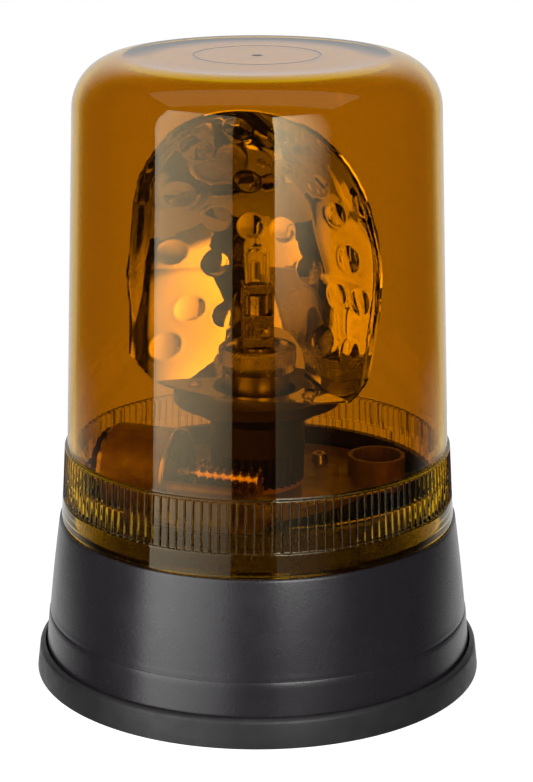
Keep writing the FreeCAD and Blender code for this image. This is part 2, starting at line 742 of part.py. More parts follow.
def reflector_bowl():
    """Return the paraboloid sheet about the bulb's filament, before it is cut out."""
    focal, sheet_thickness = num("focal_length"), num("reflector_sheet")
    reach = 76.0
    focus = num("filament_height")

    def point(radius, offset):
        return Vector(radius, focal - radius * radius / (4 * focal) + offset, 0)

    steps = [reach * index / 8 for index in range(9)]
    inner = Part.BSplineCurve()
    inner.interpolate([point(radius, 0.0) for radius in steps])
    outer = Part.BSplineCurve()
    outer.interpolate([point(radius, sheet_thickness) for radius in steps])
    edges = (inner.toShape(),
             Part.makeLine(point(reach, 0.0), point(reach, sheet_thickness)),
             outer.toShape(),
             Part.makeLine(point(0.0, sheet_thickness), point(0.0, 0.0)))
    bowl = Part.Face(Part.Wire(Part.__sortEdges__(list(edges)))).revolve(
        Vector(), Vector(0, 1, 0), 360)
    bowl.Placement.Base = Vector(0, 0, focus)
    return bowl


def reflector_front_outline():
    """Return the reflector's outline seen from the front, run through the depth."""
    half, foot_half = num("reflector_half_width"), num("reflector_foot_half")
    low, corner = num("disc_top"), num("disc_top") + 10.0
    depth = 120.0
    shoulder, waist = (42.3, 178.0), (46.6, 158.0)

    def at(x, z):
        return Vector(x, -depth / 2, z)

    edges = []
    for side in (1, -1):
        edges.append(Part.makeLine(at(side * foot_half, low), at(side * half, corner)))
        edges.append(Part.makeLine(at(side * half, corner), at(side * half, 139.0)))
        edges.append(Part.Arc(at(side * half, 139.0), at(side * waist[0], waist[1]),
                              at(side * shoulder[0], shoulder[1])).toShape())
    edges.append(Part.Arc(at(shoulder[0], shoulder[1]), at(0, num("reflector_top")),
                          at(-shoulder[0], shoulder[1])).toShape())
    edges.append(Part.makeLine(at(-foot_half, low), at(foot_half, low)))
    wire = Part.Wire(Part.__sortEdges__(edges))
    return Part.Face(wire).extrude(Vector(0, depth, 0))


def reflector_foot():
    """Return the flat foot of the reflector, from its front edge back to the bowl."""
    low, thickness = num("disc_top"), num("reflector_sheet")
    focal = num("focal_length")
    half, front = num("reflector_foot_half"), num("reflector_foot_front")
    drop = num("filament_height") - low

    def back(x):
        return focal - (x * x + drop * drop) / (4 * focal)

    left, right = Vector(-half, back(half), low), Vector(half, back(half), low)
    front_arc = Part.Arc(left, Vector(0, -front, low), right)
    back_curve = Part.BSplineCurve()
    back_curve.interpolate([Vector(x, back(x) + thickness / 2, low)
                            for x in (half, half / 2, 0.0, -half / 2, -half)])
    ends = (Part.makeLine(right, back_curve.value(back_curve.FirstParameter)),
            Part.makeLine(back_curve.value(back_curve.LastParameter), left))
    wire = Part.Wire(Part.__sortEdges__(
        [front_arc.toShape(), back_curve.toShape()] + list(ends)))
    return Part.Face(wire).extrude(Vector(0, 0, thickness))


def make_reflector():
    """Pressed aluminium reflector with its foot, cut clear of the socket."""
    bowl = reflector_bowl().common(reflector_front_outline())
    socket_room = Part.makeCylinder(num("knurl_radius") + 2.0, 40.0,
                                    Vector(0, 0, num("disc_top") - 5.0))
    shape = bowl.fuse(reflector_foot()).cut(socket_room)
    for rivet in rivet_places():
        shape = shape.cut(Part.makeCylinder(1.5, 5.0, rivet - Vector(0, 0, 1.0)))
    set_solid("reflector", shape.removeSplitter())


def make_reflector_rivets():
    """Two rivets that hold the reflector's foot to the rotor disc."""
    rivets = []
    lift = num("reflector_sheet")
    for place in rivet_places():
        rivet = turned(((0, -4.8), (1.5, -4.8), (1.5, lift), (2.7, lift),
                        (2.4, lift + 0.8), (1.2, lift + 1.4), (0, lift + 1.5)))
        rivet.Placement.Base = place
        rivets.append(rivet)
    set_solid("reflector_rivets", Part.makeCompound(rivets))


# ---------------------------------------------------------------- bulb and socket

def make_bulb_socket():
    """Socket with a spigot in the post and a neck for the knurled ring."""
    body = new_body("bulb_socket")
    spigot_low = S["post_top"] - S["socket_spigot"]
    floor = S["post_top"] + 4.0
    revolve(body, "section", (
        (Size(3.0, "3"), spigot_low),
        (S["post_bore_radius"], spigot_low),
        (S["post_bore_radius"], S["post_top"]),
        (S["socket_radius"], S["post_top"]),
        (S["socket_radius"], S["socket_top"]),
        (S["neck_radius"], S["socket_top"]),
        (S["neck_radius"], S["neck_top"]),
        (S["bulb_flange_radius"] + 0.3, S["neck_top"]),
        (S["bulb_flange_radius"] + 0.3, S["neck_top"] - S["bulb_flange_thickness"]),
        (Size(6.0, "6"), S["neck_top"] - S["bulb_flange_thickness"]),
        (Size(6.0, "6"), floor),
        (Size(3.0, "3"), floor)))


def make_socket_insulator():
    """Ceramic disc that carries the lamp contact."""
    body = new_body("socket_insulator")
    floor = S["post_top"] + 4.0
    revolve(body, "section", (
        (Size(1.5, "1.5"), floor), (Size(6.0, "6"), floor),
        (Size(6.0, "6"), floor + 3.0), (Size(1.5, "1.5"), floor + 3.0)))


def make_lamp_contact():
    """Brass contact pin that feeds the bulb's cap."""
    body = new_body("lamp_contact")
    low = S["post_top"] - 6.0
    seat = S["post_top"] + 7.0
    zero, pin, head = Size(0, "0"), Size(1.5, "1.5"), Size(3.0, "3")
    revolve(body, "section", (
        (zero, low), (pin, low), (pin, seat), (head, seat),
        (head, S["bulb_cap_bottom"]), (zero, S["bulb_cap_bottom"])))


def make_bulb_ring():
    """Knurled ring that clamps the bulb in the socket."""
    body = new_body("bulb_ring")
    mouth_low = S["neck_top"] + 0.0
    plain = S["knurl_radius"] - 0.5
    revolve(body, "section", (
        (S["neck_radius"], S["socket_top"]),
        (plain - 0.4, S["socket_top"]),
        (plain, S["socket_top"] + 0.4),
        (plain, S["knurl_line"]),
        (S["knurl_radius"], S["knurl_line"]),
        (S["knurl_radius"], S["knurl_top"] - 0.4),
        (S["knurl_radius"] - 0.4, S["knurl_top"]),
        (S["knurl_bore_radius"], S["knurl_top"]),
        (S["knurl_bore_radius"], mouth_low),
        (S["neck_radius"], mouth_low)))


def make_bulb_clamp_plate():
    """Sprung steel plate that presses on the bulb's flange."""
    body = new_body("bulb_clamp_plate")
    low = S["neck_top"]
    high = low + 0.6
    revolve(body, "section", (
        (Size(6.3, "6.3"), low), (S["knurl_bore_radius"], low),
        (S["knurl_bore_radius"], high), (Size(6.3, "6.3"), high)))


def make_bulb_base():
    """Metal cap of the bulb with its locating flange."""
    low, cap = num("bulb_cap_bottom"), num("bulb_cap_radius")
    flange, flange_top = num("bulb_flange_radius"), num("neck_top")
    flange_low = flange_top - num("bulb_flange_thickness")
    base = turned(((0, low), (cap - 0.8, low), (cap, low + 1.0), (cap, flange_low),
                   (flange, flange_low), (flange, flange_top), (6.0, flange_top),
                   (5.6, flange_top + 2.2), (0, flange_top + 2.2)))
    key = Part.makeBox(2.4, 2.0, 3.0, Vector(-1.2, flange - 1.2, flange_low - 1.0))
    set_solid("bulb_base", base.cut(key))


def make_bulb_shell():
    """Rectangular metal holder that stands on the cap and grips the pinch."""
    width, depth = num("bulb_shell_width"), num("bulb_shell_depth")
    low, high = num("neck_top") + 2.2, num("bulb_shell_top")
    wall = 0.6
    tube = Part.makeBox(width, depth, high - low, Vector(-width / 2, -depth / 2, low))
    room = Part.makeBox(width - 2 * wall, depth - 2 * wall, high - low,
                        Vector(-width / 2 + wall, -depth / 2 + wall, low))
    window = Part.makeBox(width - 4.4, depth * 2, 10.0,
                          Vector(-width / 2 + 2.2, -depth, low + 9.0))
    shell = tube.cut([room, window])
    set_solid("bulb_shell", shell)


def make_bulb_glass():
    """Quartz envelope with a pinched foot and a pointed tip."""
    radius, pinch = num("bulb_glass_radius"), num("bulb_pinch")
    low, top = num("neck_top") + 2.2, num("bulb_top")
    start = num("bulb_shell_top") - 5.0
    crown = top - 5.5
    envelope = turned(((0, start), (radius * 0.7, start), (radius, start + 2.0),
                       (radius, crown), (radius * 0.8, crown + 2.2),
                       (radius * 0.35, crown + 3.6), (0.9, crown + 4.4), (0, top)))
    foot = Part.makeBox(2 * radius, pinch, start + 1.0 - low, Vector(-radius, -pinch / 2, low))
    room = turned(((0, start + 1.0), (radius - 1.6, start + 1.0), (radius - 1.0, start + 2.5),
                   (radius - 1.0, crown), (radius * 0.5, crown + 1.6), (0, crown + 2.2)))
    set_solid("bulb_glass", envelope.fuse(foot).cut(room).removeSplitter())


def make_bulb_filament():
    """Coiled filament on its two lead wires."""
    half, middle = num("filament_length") / 2, num("filament_height")
    floor = num("bulb_shell_top") - 4.0
    coil = Part.makeCylinder(0.6, 2 * half, Vector(0, 0, middle - half))
    short_lead = Part.makeCylinder(0.3, middle - half - floor, Vector(0, 0, floor))
    long_lead = Part.makeCylinder(0.3, middle + half - floor, Vector(1.8, 0, floor))
    bridge = Part.makeCylinder(0.3, 1.8, Vector(0, 0, middle + half), Vector(1, 0, 0))
    set_solid("bulb_filament", coil.multiFuse([short_lead, long_lead, bridge]))


# ---------------------------------------------------------------- motor and worm

def make_motor_can():
    """Steel can of the motor, with dimples in its front face and room for the shaft."""
    radius, front = num("motor_radius"), num("motor_front")
    length = num("motor_length")
    can = turned(((0, 0), (radius, 0), (radius, length - 1.2), (radius - 1.2, length), (0, length)))
    bush_room = Part.makeCylinder(num("motor_boss_radius"), 4.0, Vector(0, 0, length - 4.0))
    shaft_room = Part.makeCylinder(num("shaft_radius") + 0.5, 8.0, Vector(0, 0, length - 12.0))
    dimples = [Part.makeCylinder(1.3, 1.5, polar(8.0, angle, length - 1.0))
               for angle in (40.0, 220.0)]
    set_solid("motor_can", along_x(can.cut([bush_room, shaft_room] + dimples), -front - length))


def make_motor_front_bush():
    """Bronze bush that the shaft leaves the motor through."""
    body = new_body("motor_front_bush")
    bore = S["shaft_radius"] + S["shaft_clearance"]
    length = S["motor_front"] + 4.0 - S["motor_boss_end"]
    zero = Size(0, "0")
    revolve(body, "section", (
        (bore, zero), (S["motor_boss_radius"], zero),
        (S["motor_boss_radius"], length), (bore, length)))
    on_motor_axis(body, -S["motor_front"] - 4.0)


def make_motor_end_cap():
    """Plastic brush cap that closes the back of the motor."""
    body = new_body("motor_end_cap")
    zero, length = Size(0, "0"), S["motor_cap_length"]
    revolve(body, "section", (
        (zero, zero), (S["motor_cap_radius"] - 0.8, zero),
        (S["motor_cap_radius"], Size(0.8, "0.8")),
        (S["motor_cap_radius"], length), (zero, length)))
    on_motor_axis(body, -S["motor_front"] - S["motor_length"] - S["motor_cap_length"])


def make_motor_terminals():
    """Two solder tabs behind the motor."""
    back = -(num("motor_front") + num("motor_length") + num("motor_cap_length"))
    tabs = []
    for side in (-1, 1):
        corner = Vector(back - 3.0, -num("worm_distance") + side * 6.5 - 0.4,
                        num("motor_axis_height") - 1.4)
        tab = Part.makeBox(3.0, 0.8, 2.8, corner)
        eye = Part.makeCylinder(0.6, 2.0, corner + Vector(1.2, -0.5, 1.4), Vector(0, 1, 0))
        tabs.append(tab.cut(eye))
    set_solid("motor_terminals", Part.makeCompound(tabs))


def make_motor_shaft():
    """Motor shaft, which the worm is pressed onto."""
    body = new_body("motor_shaft")
    zero = Size(0, "0")
    start = S["motor_front"] + 11.0
    revolve(body, "section", (
        (zero, zero), (S["shaft_radius"], zero),
        (S["shaft_radius"], start + S["worm_end"] - 1.0), (zero, start + S["worm_end"] - 1.0)))
    on_motor_axis(body, -start)


def make_worm():
    """Single-start right-hand brass worm."""
    body = new_body("worm")
    module = S["gear_module"]
    pitch_radius = S["worm_pitch_radius"]
    lead = module * math.pi
    root, crest = pitch_radius - module * 1.25, pitch_radius + module
    slope = math.tan(math.radians(num("flank_angle")))
    half_pitch = lead / 4 - S["tooth_thinning"] / 2
    half_root = half_pitch + module * (1.25 * slope)
    half_crest = half_pitch - module * slope
    start = lead / 4 - lead * 6.0
    turns = 10

    low, high = -S["worm_start"], S["worm_end"]
    revolve(body, "core", (
        (S["shaft_radius"], low), (root, low), (root, high), (S["shaft_radius"], high)))
    profile = new_sketch(body, "thread")
    sunk = root - 0.1
    draw_outline(profile, (
        (sunk, start - half_root), (root, start - half_root), (crest, start - half_crest),
        (crest, start + half_crest), (root, start + half_root), (sunk, start + half_root)))
    thread = body.newObject("PartDesign::AdditiveHelix", "worm_thread_turns")
    thread.Profile = profile
    thread.ReferenceAxis = (profile, ["V_Axis"])
    thread.Mode = 0
    thread.Pitch = float(lead)
    thread.Height = float(lead) * turns
    thread.Angle = 0
    thread.LeftHanded = False
    thread.Reversed = False
    thread.setExpression("Pitch", lead.formula)
    thread.setExpression("Height", (lead * turns).formula)
    outside = crest + 2.0
    inside = S["shaft_radius"] + 0.2
    for name, near, far in (("tail", low, low - 12.0), ("nose", high, high + 30.0)):
        revolve(body, name, (
            (inside, near), (outside, near), (outside, far), (inside, far)), cut=True)
    on_motor_axis(body)


# ---------------------------------------------------------------- lens

def draw_rib_outline(sketch, crest):
    """Draw the grip band's outline, a ring of narrow ribs with flutes between them."""
    floor = crest - num("lens_rib_height")
    half_crest = math.degrees(num("lens_rib_width") / 2 / crest)
    half_foot = math.degrees((num("lens_rib_width") / 2 + num("lens_rib_foot")) / crest)
    count = int(num("lens_rib_count"))
    corners = []
    for index in range(count):
        middle = index * 360.0 / count
        for turn, radius in ((-half_foot, floor), (-half_crest, crest), (half_crest, crest), (half_foot, floor)):
            corners.append(polar(radius, middle + turn))
    sides = [Part.LineSegment(start, end) for start, end in zip(corners, corners[1:] + corners[:1])]
    sketch.addGeometry(sides, False)


def add_grip_ribs(body):
    """Loft the ribbed ring of the grip band between its two ends."""
    ends = []
    for name, crest, height in (("ribs_low", "lens_band_low_radius", "lens_band_bottom"),
                                ("ribs_high", "lens_band_high_radius", "lens_band_top")):
        sketch = new_sketch(body, name, "XY_Plane", S[height])
        draw_rib_outline(sketch, num(crest))
        draw_circle(sketch, S["lens_bore_radius"] + RING_DEPTH, 0, 0)
        ends.append(sketch)
    ring = body.newObject("PartDesign::AdditiveLoft", "lens_dome_ribs")
    ring.Profile = ends[0]
    ring.Sections = ends[1:]
    ring.Ruled = True
    for sketch in ends:
        sketch.Visibility = False


def make_lens_dome():
    """Amber dome with its ribbed grip band, skirt and bayonet tracks."""
    body = new_body("lens_dome")
    wall = S["lens_wall"]
    under_ribs = S["lens_rib_height"] + RIB_BED
    revolve(body, "section", (
        (S["lens_bore_radius"], S["lens_bottom"]),
        (S["lens_skirt_radius"], S["lens_bottom"]),
        (S["lens_band_low_radius"], S["lens_band_bottom"]),
        (S["lens_band_low_radius"] - under_ribs, S["lens_band_bottom"]),
        (S["lens_band_high_radius"] - under_ribs, S["lens_band_top"]),
        (S["lens_band_high_radius"], S["lens_band_top"]),
        (S["lens_wall_radius"], S["lens_wall_start"]),
        (S["lens_crown_radius"], S["lens_height"]),
        (Size(0, "0"), S["lens_height"]),
        (Size(0, "0"), S["lens_height"] - wall),
        (S["lens_crown_radius"] - wall, S["lens_height"] - wall),
        (S["lens_wall_radius"] - wall, S["lens_wall_start"]),
        (S["lens_bore_radius"], S["lens_bore_top"])))
    round_edges(body, "outer_corner", S["lens_corner"],
                ring_edge_at(S["lens_crown_radius"], S["lens_height"]))
    round_edges(body, "inner_corner", S["lens_corner"] - wall,
                ring_edge_at(S["lens_crown_radius"] - wall, S["lens_height"] - wall))

    add_grip_ribs(body)

    ledge = S["lug_bottom"] - 0.05
    end = num("track_end")
    start = end - num("track_angle")
    inside = num("lens_bore_radius") - 3.0
    track = new_sketch(body, "track", "XY_Plane", ledge)
    draw_arc_strip(track, inside, num("track_radius"), start, end)
    track_cut = extrude(body, track, S["track_top"] - ledge, cut=True, downwards=True)
    slot = new_sketch(body, "slot", "XY_Plane", S["lens_bottom"] - 1.0)
    draw_arc_strip(slot, inside, num("track_radius"), start, start + num("slot_angle"))
    slot_cut = extrude(body, slot, ledge + 2.0 - S["lens_bottom"], cut=True, downwards=True)
    repeat_round(body, [track_cut, slot_cut], len(LUG_ANGLES))


def make_everything():
    """Build every sub-part of the beacon."""
    make_rubber_foot()
    make_base_housing()
    make_mounting_inserts()
    make_cable_grommet()
    make_terminal_block()
    make_suppressor_capacitor()
    make_lens_seal()
    make_chassis()
    make_chassis_screws()
    make_deck_rivet()
    make_bearing_post()
    make_thrust_washer()
    make_retaining_ring()
    make_rotor_hub()
    make_rotor_bush("rotor_bush_lower", S["wheel_bottom"] + 0.2)
    make_rotor_bush("rotor_bush_upper", S["ring_groove_height"] - 0.1 - S["bush_length"])
    make_reflector()
    make_reflector_rivets()
    make_bulb_socket()
    make_socket_insulator()
    make_lamp_contact()
    make_bulb_ring()
    make_bulb_clamp_plate()
    make_bulb_base()
    make_bulb_shell()
    make_bulb_glass()
    make_bulb_filament()
    make_motor_can()
    make_motor_front_bush()
    make_motor_end_cap()
    make_motor_terminals()
    make_motor_shaft()
    make_worm()
    make_lens_dome()


def check_and_export():
    """Stop on any failed object, and write each sub-part's solid."""
    document.recompute()
    for item in document.Objects:
        if "Invalid" in item.State or "Error" in item.State:
            raise RuntimeError(f"{item.Label} failed: {item.State}")
    os.makedirs("parts", exist_ok=True)
    for item in document.Objects:
        is_body = item.TypeId == "PartDesign::Body"
        if not is_body and item.TypeId != "Part::Feature":
            continue
        if item.Shape.isNull() or not item.Shape.isValid():
            raise RuntimeError(f"{item.Label} has no valid shape")
        item.Shape.exportStep(os.path.join("parts", f"{item.Label}.step"))
        print(f"{item.Label}: {len(item.Shape.Solids)} solid(s), "
              f"{item.Shape.Volume:.1f} mm3, {len(item.Shape.Faces)} faces")


make_everything()
check_and_export()
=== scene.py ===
"""Looks of a rotating beacon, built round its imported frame.

The frame gives every piece its place, in metres, with +Z up and the origin under the rubber foot. Sizes
here are in millimetres and are turned into metres where a mesh is made.
"""

import json
import logging
import math
from dataclasses import dataclass
from enum import Enum
from typing import Sequence

import bmesh
import bpy
import numpy as np
from mathutils import Matrix, Vector

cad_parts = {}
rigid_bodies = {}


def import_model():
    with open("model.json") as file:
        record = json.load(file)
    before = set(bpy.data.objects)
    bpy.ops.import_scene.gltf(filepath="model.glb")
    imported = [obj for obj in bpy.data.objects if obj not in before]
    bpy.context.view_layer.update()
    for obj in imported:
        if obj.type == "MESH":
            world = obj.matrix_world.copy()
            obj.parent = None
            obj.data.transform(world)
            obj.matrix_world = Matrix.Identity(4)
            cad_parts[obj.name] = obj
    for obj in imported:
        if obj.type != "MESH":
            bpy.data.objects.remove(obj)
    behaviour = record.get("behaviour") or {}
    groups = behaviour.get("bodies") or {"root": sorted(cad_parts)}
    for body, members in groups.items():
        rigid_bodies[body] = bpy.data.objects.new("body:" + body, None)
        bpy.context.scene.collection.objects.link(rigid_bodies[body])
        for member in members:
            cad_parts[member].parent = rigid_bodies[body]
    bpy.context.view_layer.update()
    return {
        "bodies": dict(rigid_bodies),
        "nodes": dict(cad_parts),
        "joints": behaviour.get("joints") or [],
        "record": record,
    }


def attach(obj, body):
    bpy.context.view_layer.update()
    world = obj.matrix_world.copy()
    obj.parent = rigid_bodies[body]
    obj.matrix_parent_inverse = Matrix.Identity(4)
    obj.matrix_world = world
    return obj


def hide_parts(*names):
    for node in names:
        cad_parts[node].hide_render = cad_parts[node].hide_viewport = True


LOG = logging.getLogger("beacon")
MM = 0.001
Colour = tuple[float, float, float]
Link = tuple[bpy.types.Node, str | int, bpy.types.Node, str | int]


class Ray(Enum):
    """Kinds of ray that a material or the world can tell apart, by their outputs of Light Path."""

    CAMERA = "Is Camera Ray"
    DIFFUSE = "Is Diffuse Ray"
    GLOSSY = "Is Glossy Ray"
    SHADOW = "Is Shadow Ray"
    TRANSMISSION = "Is Transmission Ray"


# ------------------------------------------------------------------ meshes

@dataclass(frozen=True)
class Corner:
    """One corner of a section, in millimetres, with the radius that rounds it."""

    across: float
    up: float
    round: float = 0.0


def rounded_section(corners: Sequence[Corner], steps: int = 6) -> list[tuple[float, float]]:
    """Return a closed section with each rounded corner made into an arc.

    Args:
        corners: the corners in order, counter-clockwise.
        steps: pieces in each arc.

    Returns:
        The points of the section in millimetres.
    """
    points: list[tuple[float, float]] = []
    count = len(corners)
    for index, corner in enumerate(corners):
        here = np.array([corner.across, corner.up])
        if corner.round <= 0.0:
            points.append((corner.across, corner.up))
            continue
        before, after = corners[index - 1], corners[(index + 1) % count]
        back = np.array([before.across, before.up]) - here
        on = np.array([after.across, after.up]) - here
        back, on = back / np.linalg.norm(back), on / np.linalg.norm(on)
        half = math.acos(float(np.clip(back @ on, -1.0, 1.0))) / 2
        middle = (back + on) / np.linalg.norm(back + on)
        centre = here + middle * corner.round / math.sin(half)
        start = here + back * corner.round / math.tan(half) - centre
        end = here + on * corner.round / math.tan(half) - centre
        sweep = math.acos(float(np.clip(start @ end / corner.round ** 2, -1.0, 1.0)))
        for step in range(steps + 1):
            share = step / steps
            spoke = (math.sin((1 - share) * sweep) * start + math.sin(share * sweep) * end) / math.sin(sweep)
            points.append(tuple(centre + spoke))
    return points


def new_object(name: str, vertices: np.ndarray, faces: Sequence[Sequence[int]],
               sharp_degrees: float = 32.0) -> bpy.types.Object:
    """Make a smooth-shaded object from vertices in millimetres.

    Args:
        name: the piece's name.
        vertices: an array of points in millimetres.
        faces: the vertex numbers of each face.
        sharp_degrees: edges that bend by more than this stay sharp.

    Returns:
        The new object, linked to the scene.
    """
    mesh = bpy.data.meshes.new(name)
    mesh.from_pydata((np.asarray(vertices) * MM).tolist(), [], [list(face) for face in faces])
    mesh.validate()
    mesh.shade_smooth()
    mesh.set_sharp_from_angle(angle=math.radians(sharp_degrees))
    piece = bpy.data.objects.new(name, mesh)
    bpy.context.scene.collection.objects.link(piece)
    return piece


def grid_faces(rows: int, columns: int, rows_close: bool, columns_close: bool) -> list[tuple[int, ...]]:
    """Return the quads of a grid of vertices.

    Args:
        rows: rows of vertices.
        columns: vertices in a row.
        rows_close: whether the last row joins the first.
        columns_close: whether each row is a ring.

    Returns:
        Four vertex numbers for each quad.
    """
    faces = []
    for row in range(rows if rows_close else rows - 1):
        below, above = row * columns, ((row + 1) % rows) * columns
        for column in range(columns if columns_close else columns - 1):
            right = (column + 1) % columns
            faces.append((below + column, below + right, above + right, above + column))
    return faces


def turn(name: str, section: Sequence[tuple[float, float]], segments: int = 160) -> bpy.types.Object:
    """Turn a closed section round Z.

    Args:
        name: the piece's name.
        section: points of radius and height in millimetres, counter-clockwise.
        segments: divisions of the full turn.

    Returns:
        The turned object.
    """
    angles = np.linspace(0.0, 2 * math.pi, segments, endpoint=False)
    radius = np.array([max(point[0], 0.001) for point in section])
    height = np.array([point[1] for point in section])
    x = np.outer(radius, np.cos(angles))
    y = np.outer(radius, np.sin(angles))
    z = np.repeat(height[:, None], segments, axis=1)
    vertices = np.stack((x, y, z), axis=-1).reshape(-1, 3)
    return new_object(name, vertices, grid_faces(len(section), segments, True, True))


def blocks(name: str, spans: Sequence[tuple[tuple[float, float, float], tuple[float, float, float]]],
           edge: float) -> bpy.types.Object:
    """Make one object of straight blocks with softened edges.

    Args:
        name: the piece's name.
        spans: the lowest and highest corner of each block, in millimetres.
        edge: how far the edges are cut back, in millimetres.

    Returns:
        The new object.
    """
    form = bmesh.new()
    for low, high in spans:
        middle, size = (np.array(low) + np.array(high)) / 2, np.array(high) - np.array(low)
        place = Matrix.Translation(middle * MM) @ Matrix.Diagonal((*(size * MM), 1.0))
        made = bmesh.ops.create_cube(form, size=1.0, matrix=place)
        if edge > 0.0:
            edges = list({line for corner in made["verts"] for line in corner.link_edges})
            bmesh.ops.bevel(form, geom=edges, offset=min(edge, 0.3 * float(size.min())) * MM, segments=2,
                            affect="EDGES", profile=0.5)
    mesh = bpy.data.meshes.new(name)
    form.to_mesh(mesh)
    form.free()
    piece = bpy.data.objects.new(name, mesh)
    bpy.context.scene.collection.objects.link(piece)
    return piece


def tube(name: str, points: np.ndarray, radius: float, sides: int) -> bpy.types.Object:
    """Make a round wire along a row of points.

    Args:
        name: the piece's name.
        points: the wire's centre line in millimetres.
        radius: the wire's radius in millimetres.
        sides: sides of its section.

    Returns:
        The wire.
    """
    run = np.gradient(points, axis=0)
    run /= np.linalg.norm(run, axis=-1, keepdims=True)
    aside = np.cross(run, np.array([0.31, 0.17, 0.94]))
    aside /= np.linalg.norm(aside, axis=-1, keepdims=True)
    other = np.cross(run, aside)
    angles = np.linspace(0.0, 2 * math.pi, sides, endpoint=False)
    rings = points[:, None, :] + radius * (aside[:, None, :] * np.cos(angles)[None, :, None]
                                           + other[:, None, :] * np.sin(angles)[None, :, None])
    faces = grid_faces(len(points), sides, False, True)
    faces += [tuple(reversed(range(sides))), tuple(range((len(points) - 1) * sides, len(points) * sides))]
    return new_object(name, rings.reshape(-1, 3), faces, 60.0)


def joined(first: bpy.types.Object, second: bpy.types.Object) -> bpy.types.Mesh:
    """Return one mesh of two objects, and remove the second.

    Args:
        first: the object that keeps its place.
        second: the object whose mesh is added.

    Returns:
        The joined mesh.
    """
    form = bmesh.new()
    form.from_mesh(first.data)
    form.from_mesh(second.data)
    mesh = first.data
    form.to_mesh(mesh)
    form.free()
    bpy.data.objects.remove(second)
    return mesh


def cut_away(piece: bpy.types.Object, cutter: bpy.types.Object) -> None:
    """Cut one object out of another, and remove it."""
    cut = piece.modifiers.new("cut", "BOOLEAN")
    cut.operation = "DIFFERENCE"
    cut.solver = "EXACT"
    cut.object = cutter
    baked = bpy.data.meshes.new_from_object(piece.evaluated_get(bpy.context.evaluated_depsgraph_get()))
    piece.modifiers.remove(cut)
    piece.data = baked
    bpy.data.objects.remove(cutter)


# ------------------------------------------------------------------ shader nodes

class Canvas:
    """Places and joins the nodes of one shader tree."""

    def __init__(self, tree: bpy.types.NodeTree) -> None:
        """Keep the tree that nodes are added to."""
        self.tree = tree

    def add(self, kind: str, inputs: dict[str, object] | None = None, **settings: object) -> bpy.types.Node:
        """Add a node.

        Args:
            kind: the node's type name.
            inputs: socket values by socket name.
            settings: attributes of the node.

        Returns:
            The new node.
        """
        node = self.tree.nodes.new(kind)
        for name, value in settings.items():
            setattr(node, name, value)
        for name, value in (inputs or {}).items():
            node.inputs[name].default_value = value
        return node

    def join(self, start: bpy.types.NodeSocket, end: bpy.types.NodeSocket) -> None:
        """Link an output socket to an input socket."""
        self.tree.links.new(start, end)

    def wire(self, *links: Link) -> None:
        """Link sockets that are given by name or number.

        Args:
            links: for each link, the node it leaves, its output, the node it reaches and its input.
        """
        for start, output, end, entry in links:
            self.join(start.outputs[output], end.inputs[entry])


def ray_mask(canvas: Canvas, rays: Sequence[Ray]) -> bpy.types.NodeSocket:
    """Return a mask of some kinds of ray.

    Args:
        canvas: the canvas of the world or material.
        rays: the kinds that count.

    Returns:
        The mask's socket.
    """
    path = canvas.add("ShaderNodeLightPath")
    last = path.outputs[rays[0].value]
    for ray in rays[1:]:
        both = canvas.add("ShaderNodeMath", operation="MAXIMUM")
        canvas.join(last, both.inputs[0])
        canvas.join(path.outputs[ray.value], both.inputs[1])
        last = both.outputs["Value"]
    return last


def new_material(name: str) -> tuple[bpy.types.Material, Canvas, bpy.types.Node]:
    """Start a material.

    Args:
        name: the material's name.

    Returns:
        The material, a canvas on its tree and its output node.
    """
    made = bpy.data.materials.new(name)
    made.use_nodes = True
    made.node_tree.nodes.clear()
    canvas = Canvas(made.node_tree)
    return made, canvas, canvas.add("ShaderNodeOutputMaterial")


def shader_group(name: str, inputs: dict[str, float],
                 outputs: Sequence[str]) -> tuple[Canvas, bpy.types.Node, bpy.types.Node]:
    """Start a node group of plain values.

    Args:
        name: the group's name.
        inputs: value inputs with their defaults.
        outputs: names of the value outputs.

    Returns:
        A canvas on the group, its input node and its output node.
    """
    tree = bpy.data.node_groups.new(name, "ShaderNodeTree")
    for label, value in inputs.items():
        socket = tree.interface.new_socket(name=label, in_out="INPUT", socket_type="NodeSocketFloat")
        socket.default_value = value
    for label in outputs:
        tree.interface.new_socket(name=label, in_out="OUTPUT", socket_type="NodeSocketFloat")
    canvas = Canvas(tree)
    return canvas, canvas.add("NodeGroupInput"), canvas.add("NodeGroupOutput")


def mottle_group() -> bpy.types.NodeTree:
    """Return the group that gives a slow variation over the surface, between two values."""
    if "mottle" in bpy.data.node_groups:
        return bpy.data.node_groups["mottle"]
    canvas, given, result = shader_group("mottle", {"Scale": 60.0, "Low": 0.0, "High": 1.0}, ("Value",))
    place = canvas.add("ShaderNodeTexCoord")
    noise = canvas.add("ShaderNodeTexNoise", {"Detail": 5.0, "Roughness": 0.62})
    spread = canvas.add("ShaderNodeMapRange", {"From Min": 0.3, "From Max": 0.7})
    canvas.wire((place, "Object", noise, "Vector"), (given, "Scale", noise, "Scale"),
                (noise, "Fac", spread, "Value"), (given, "Low", spread, "To Min"),
                (given, "High", spread, "To Max"), (spread, "Result", result, "Value"))
    return canvas.tree


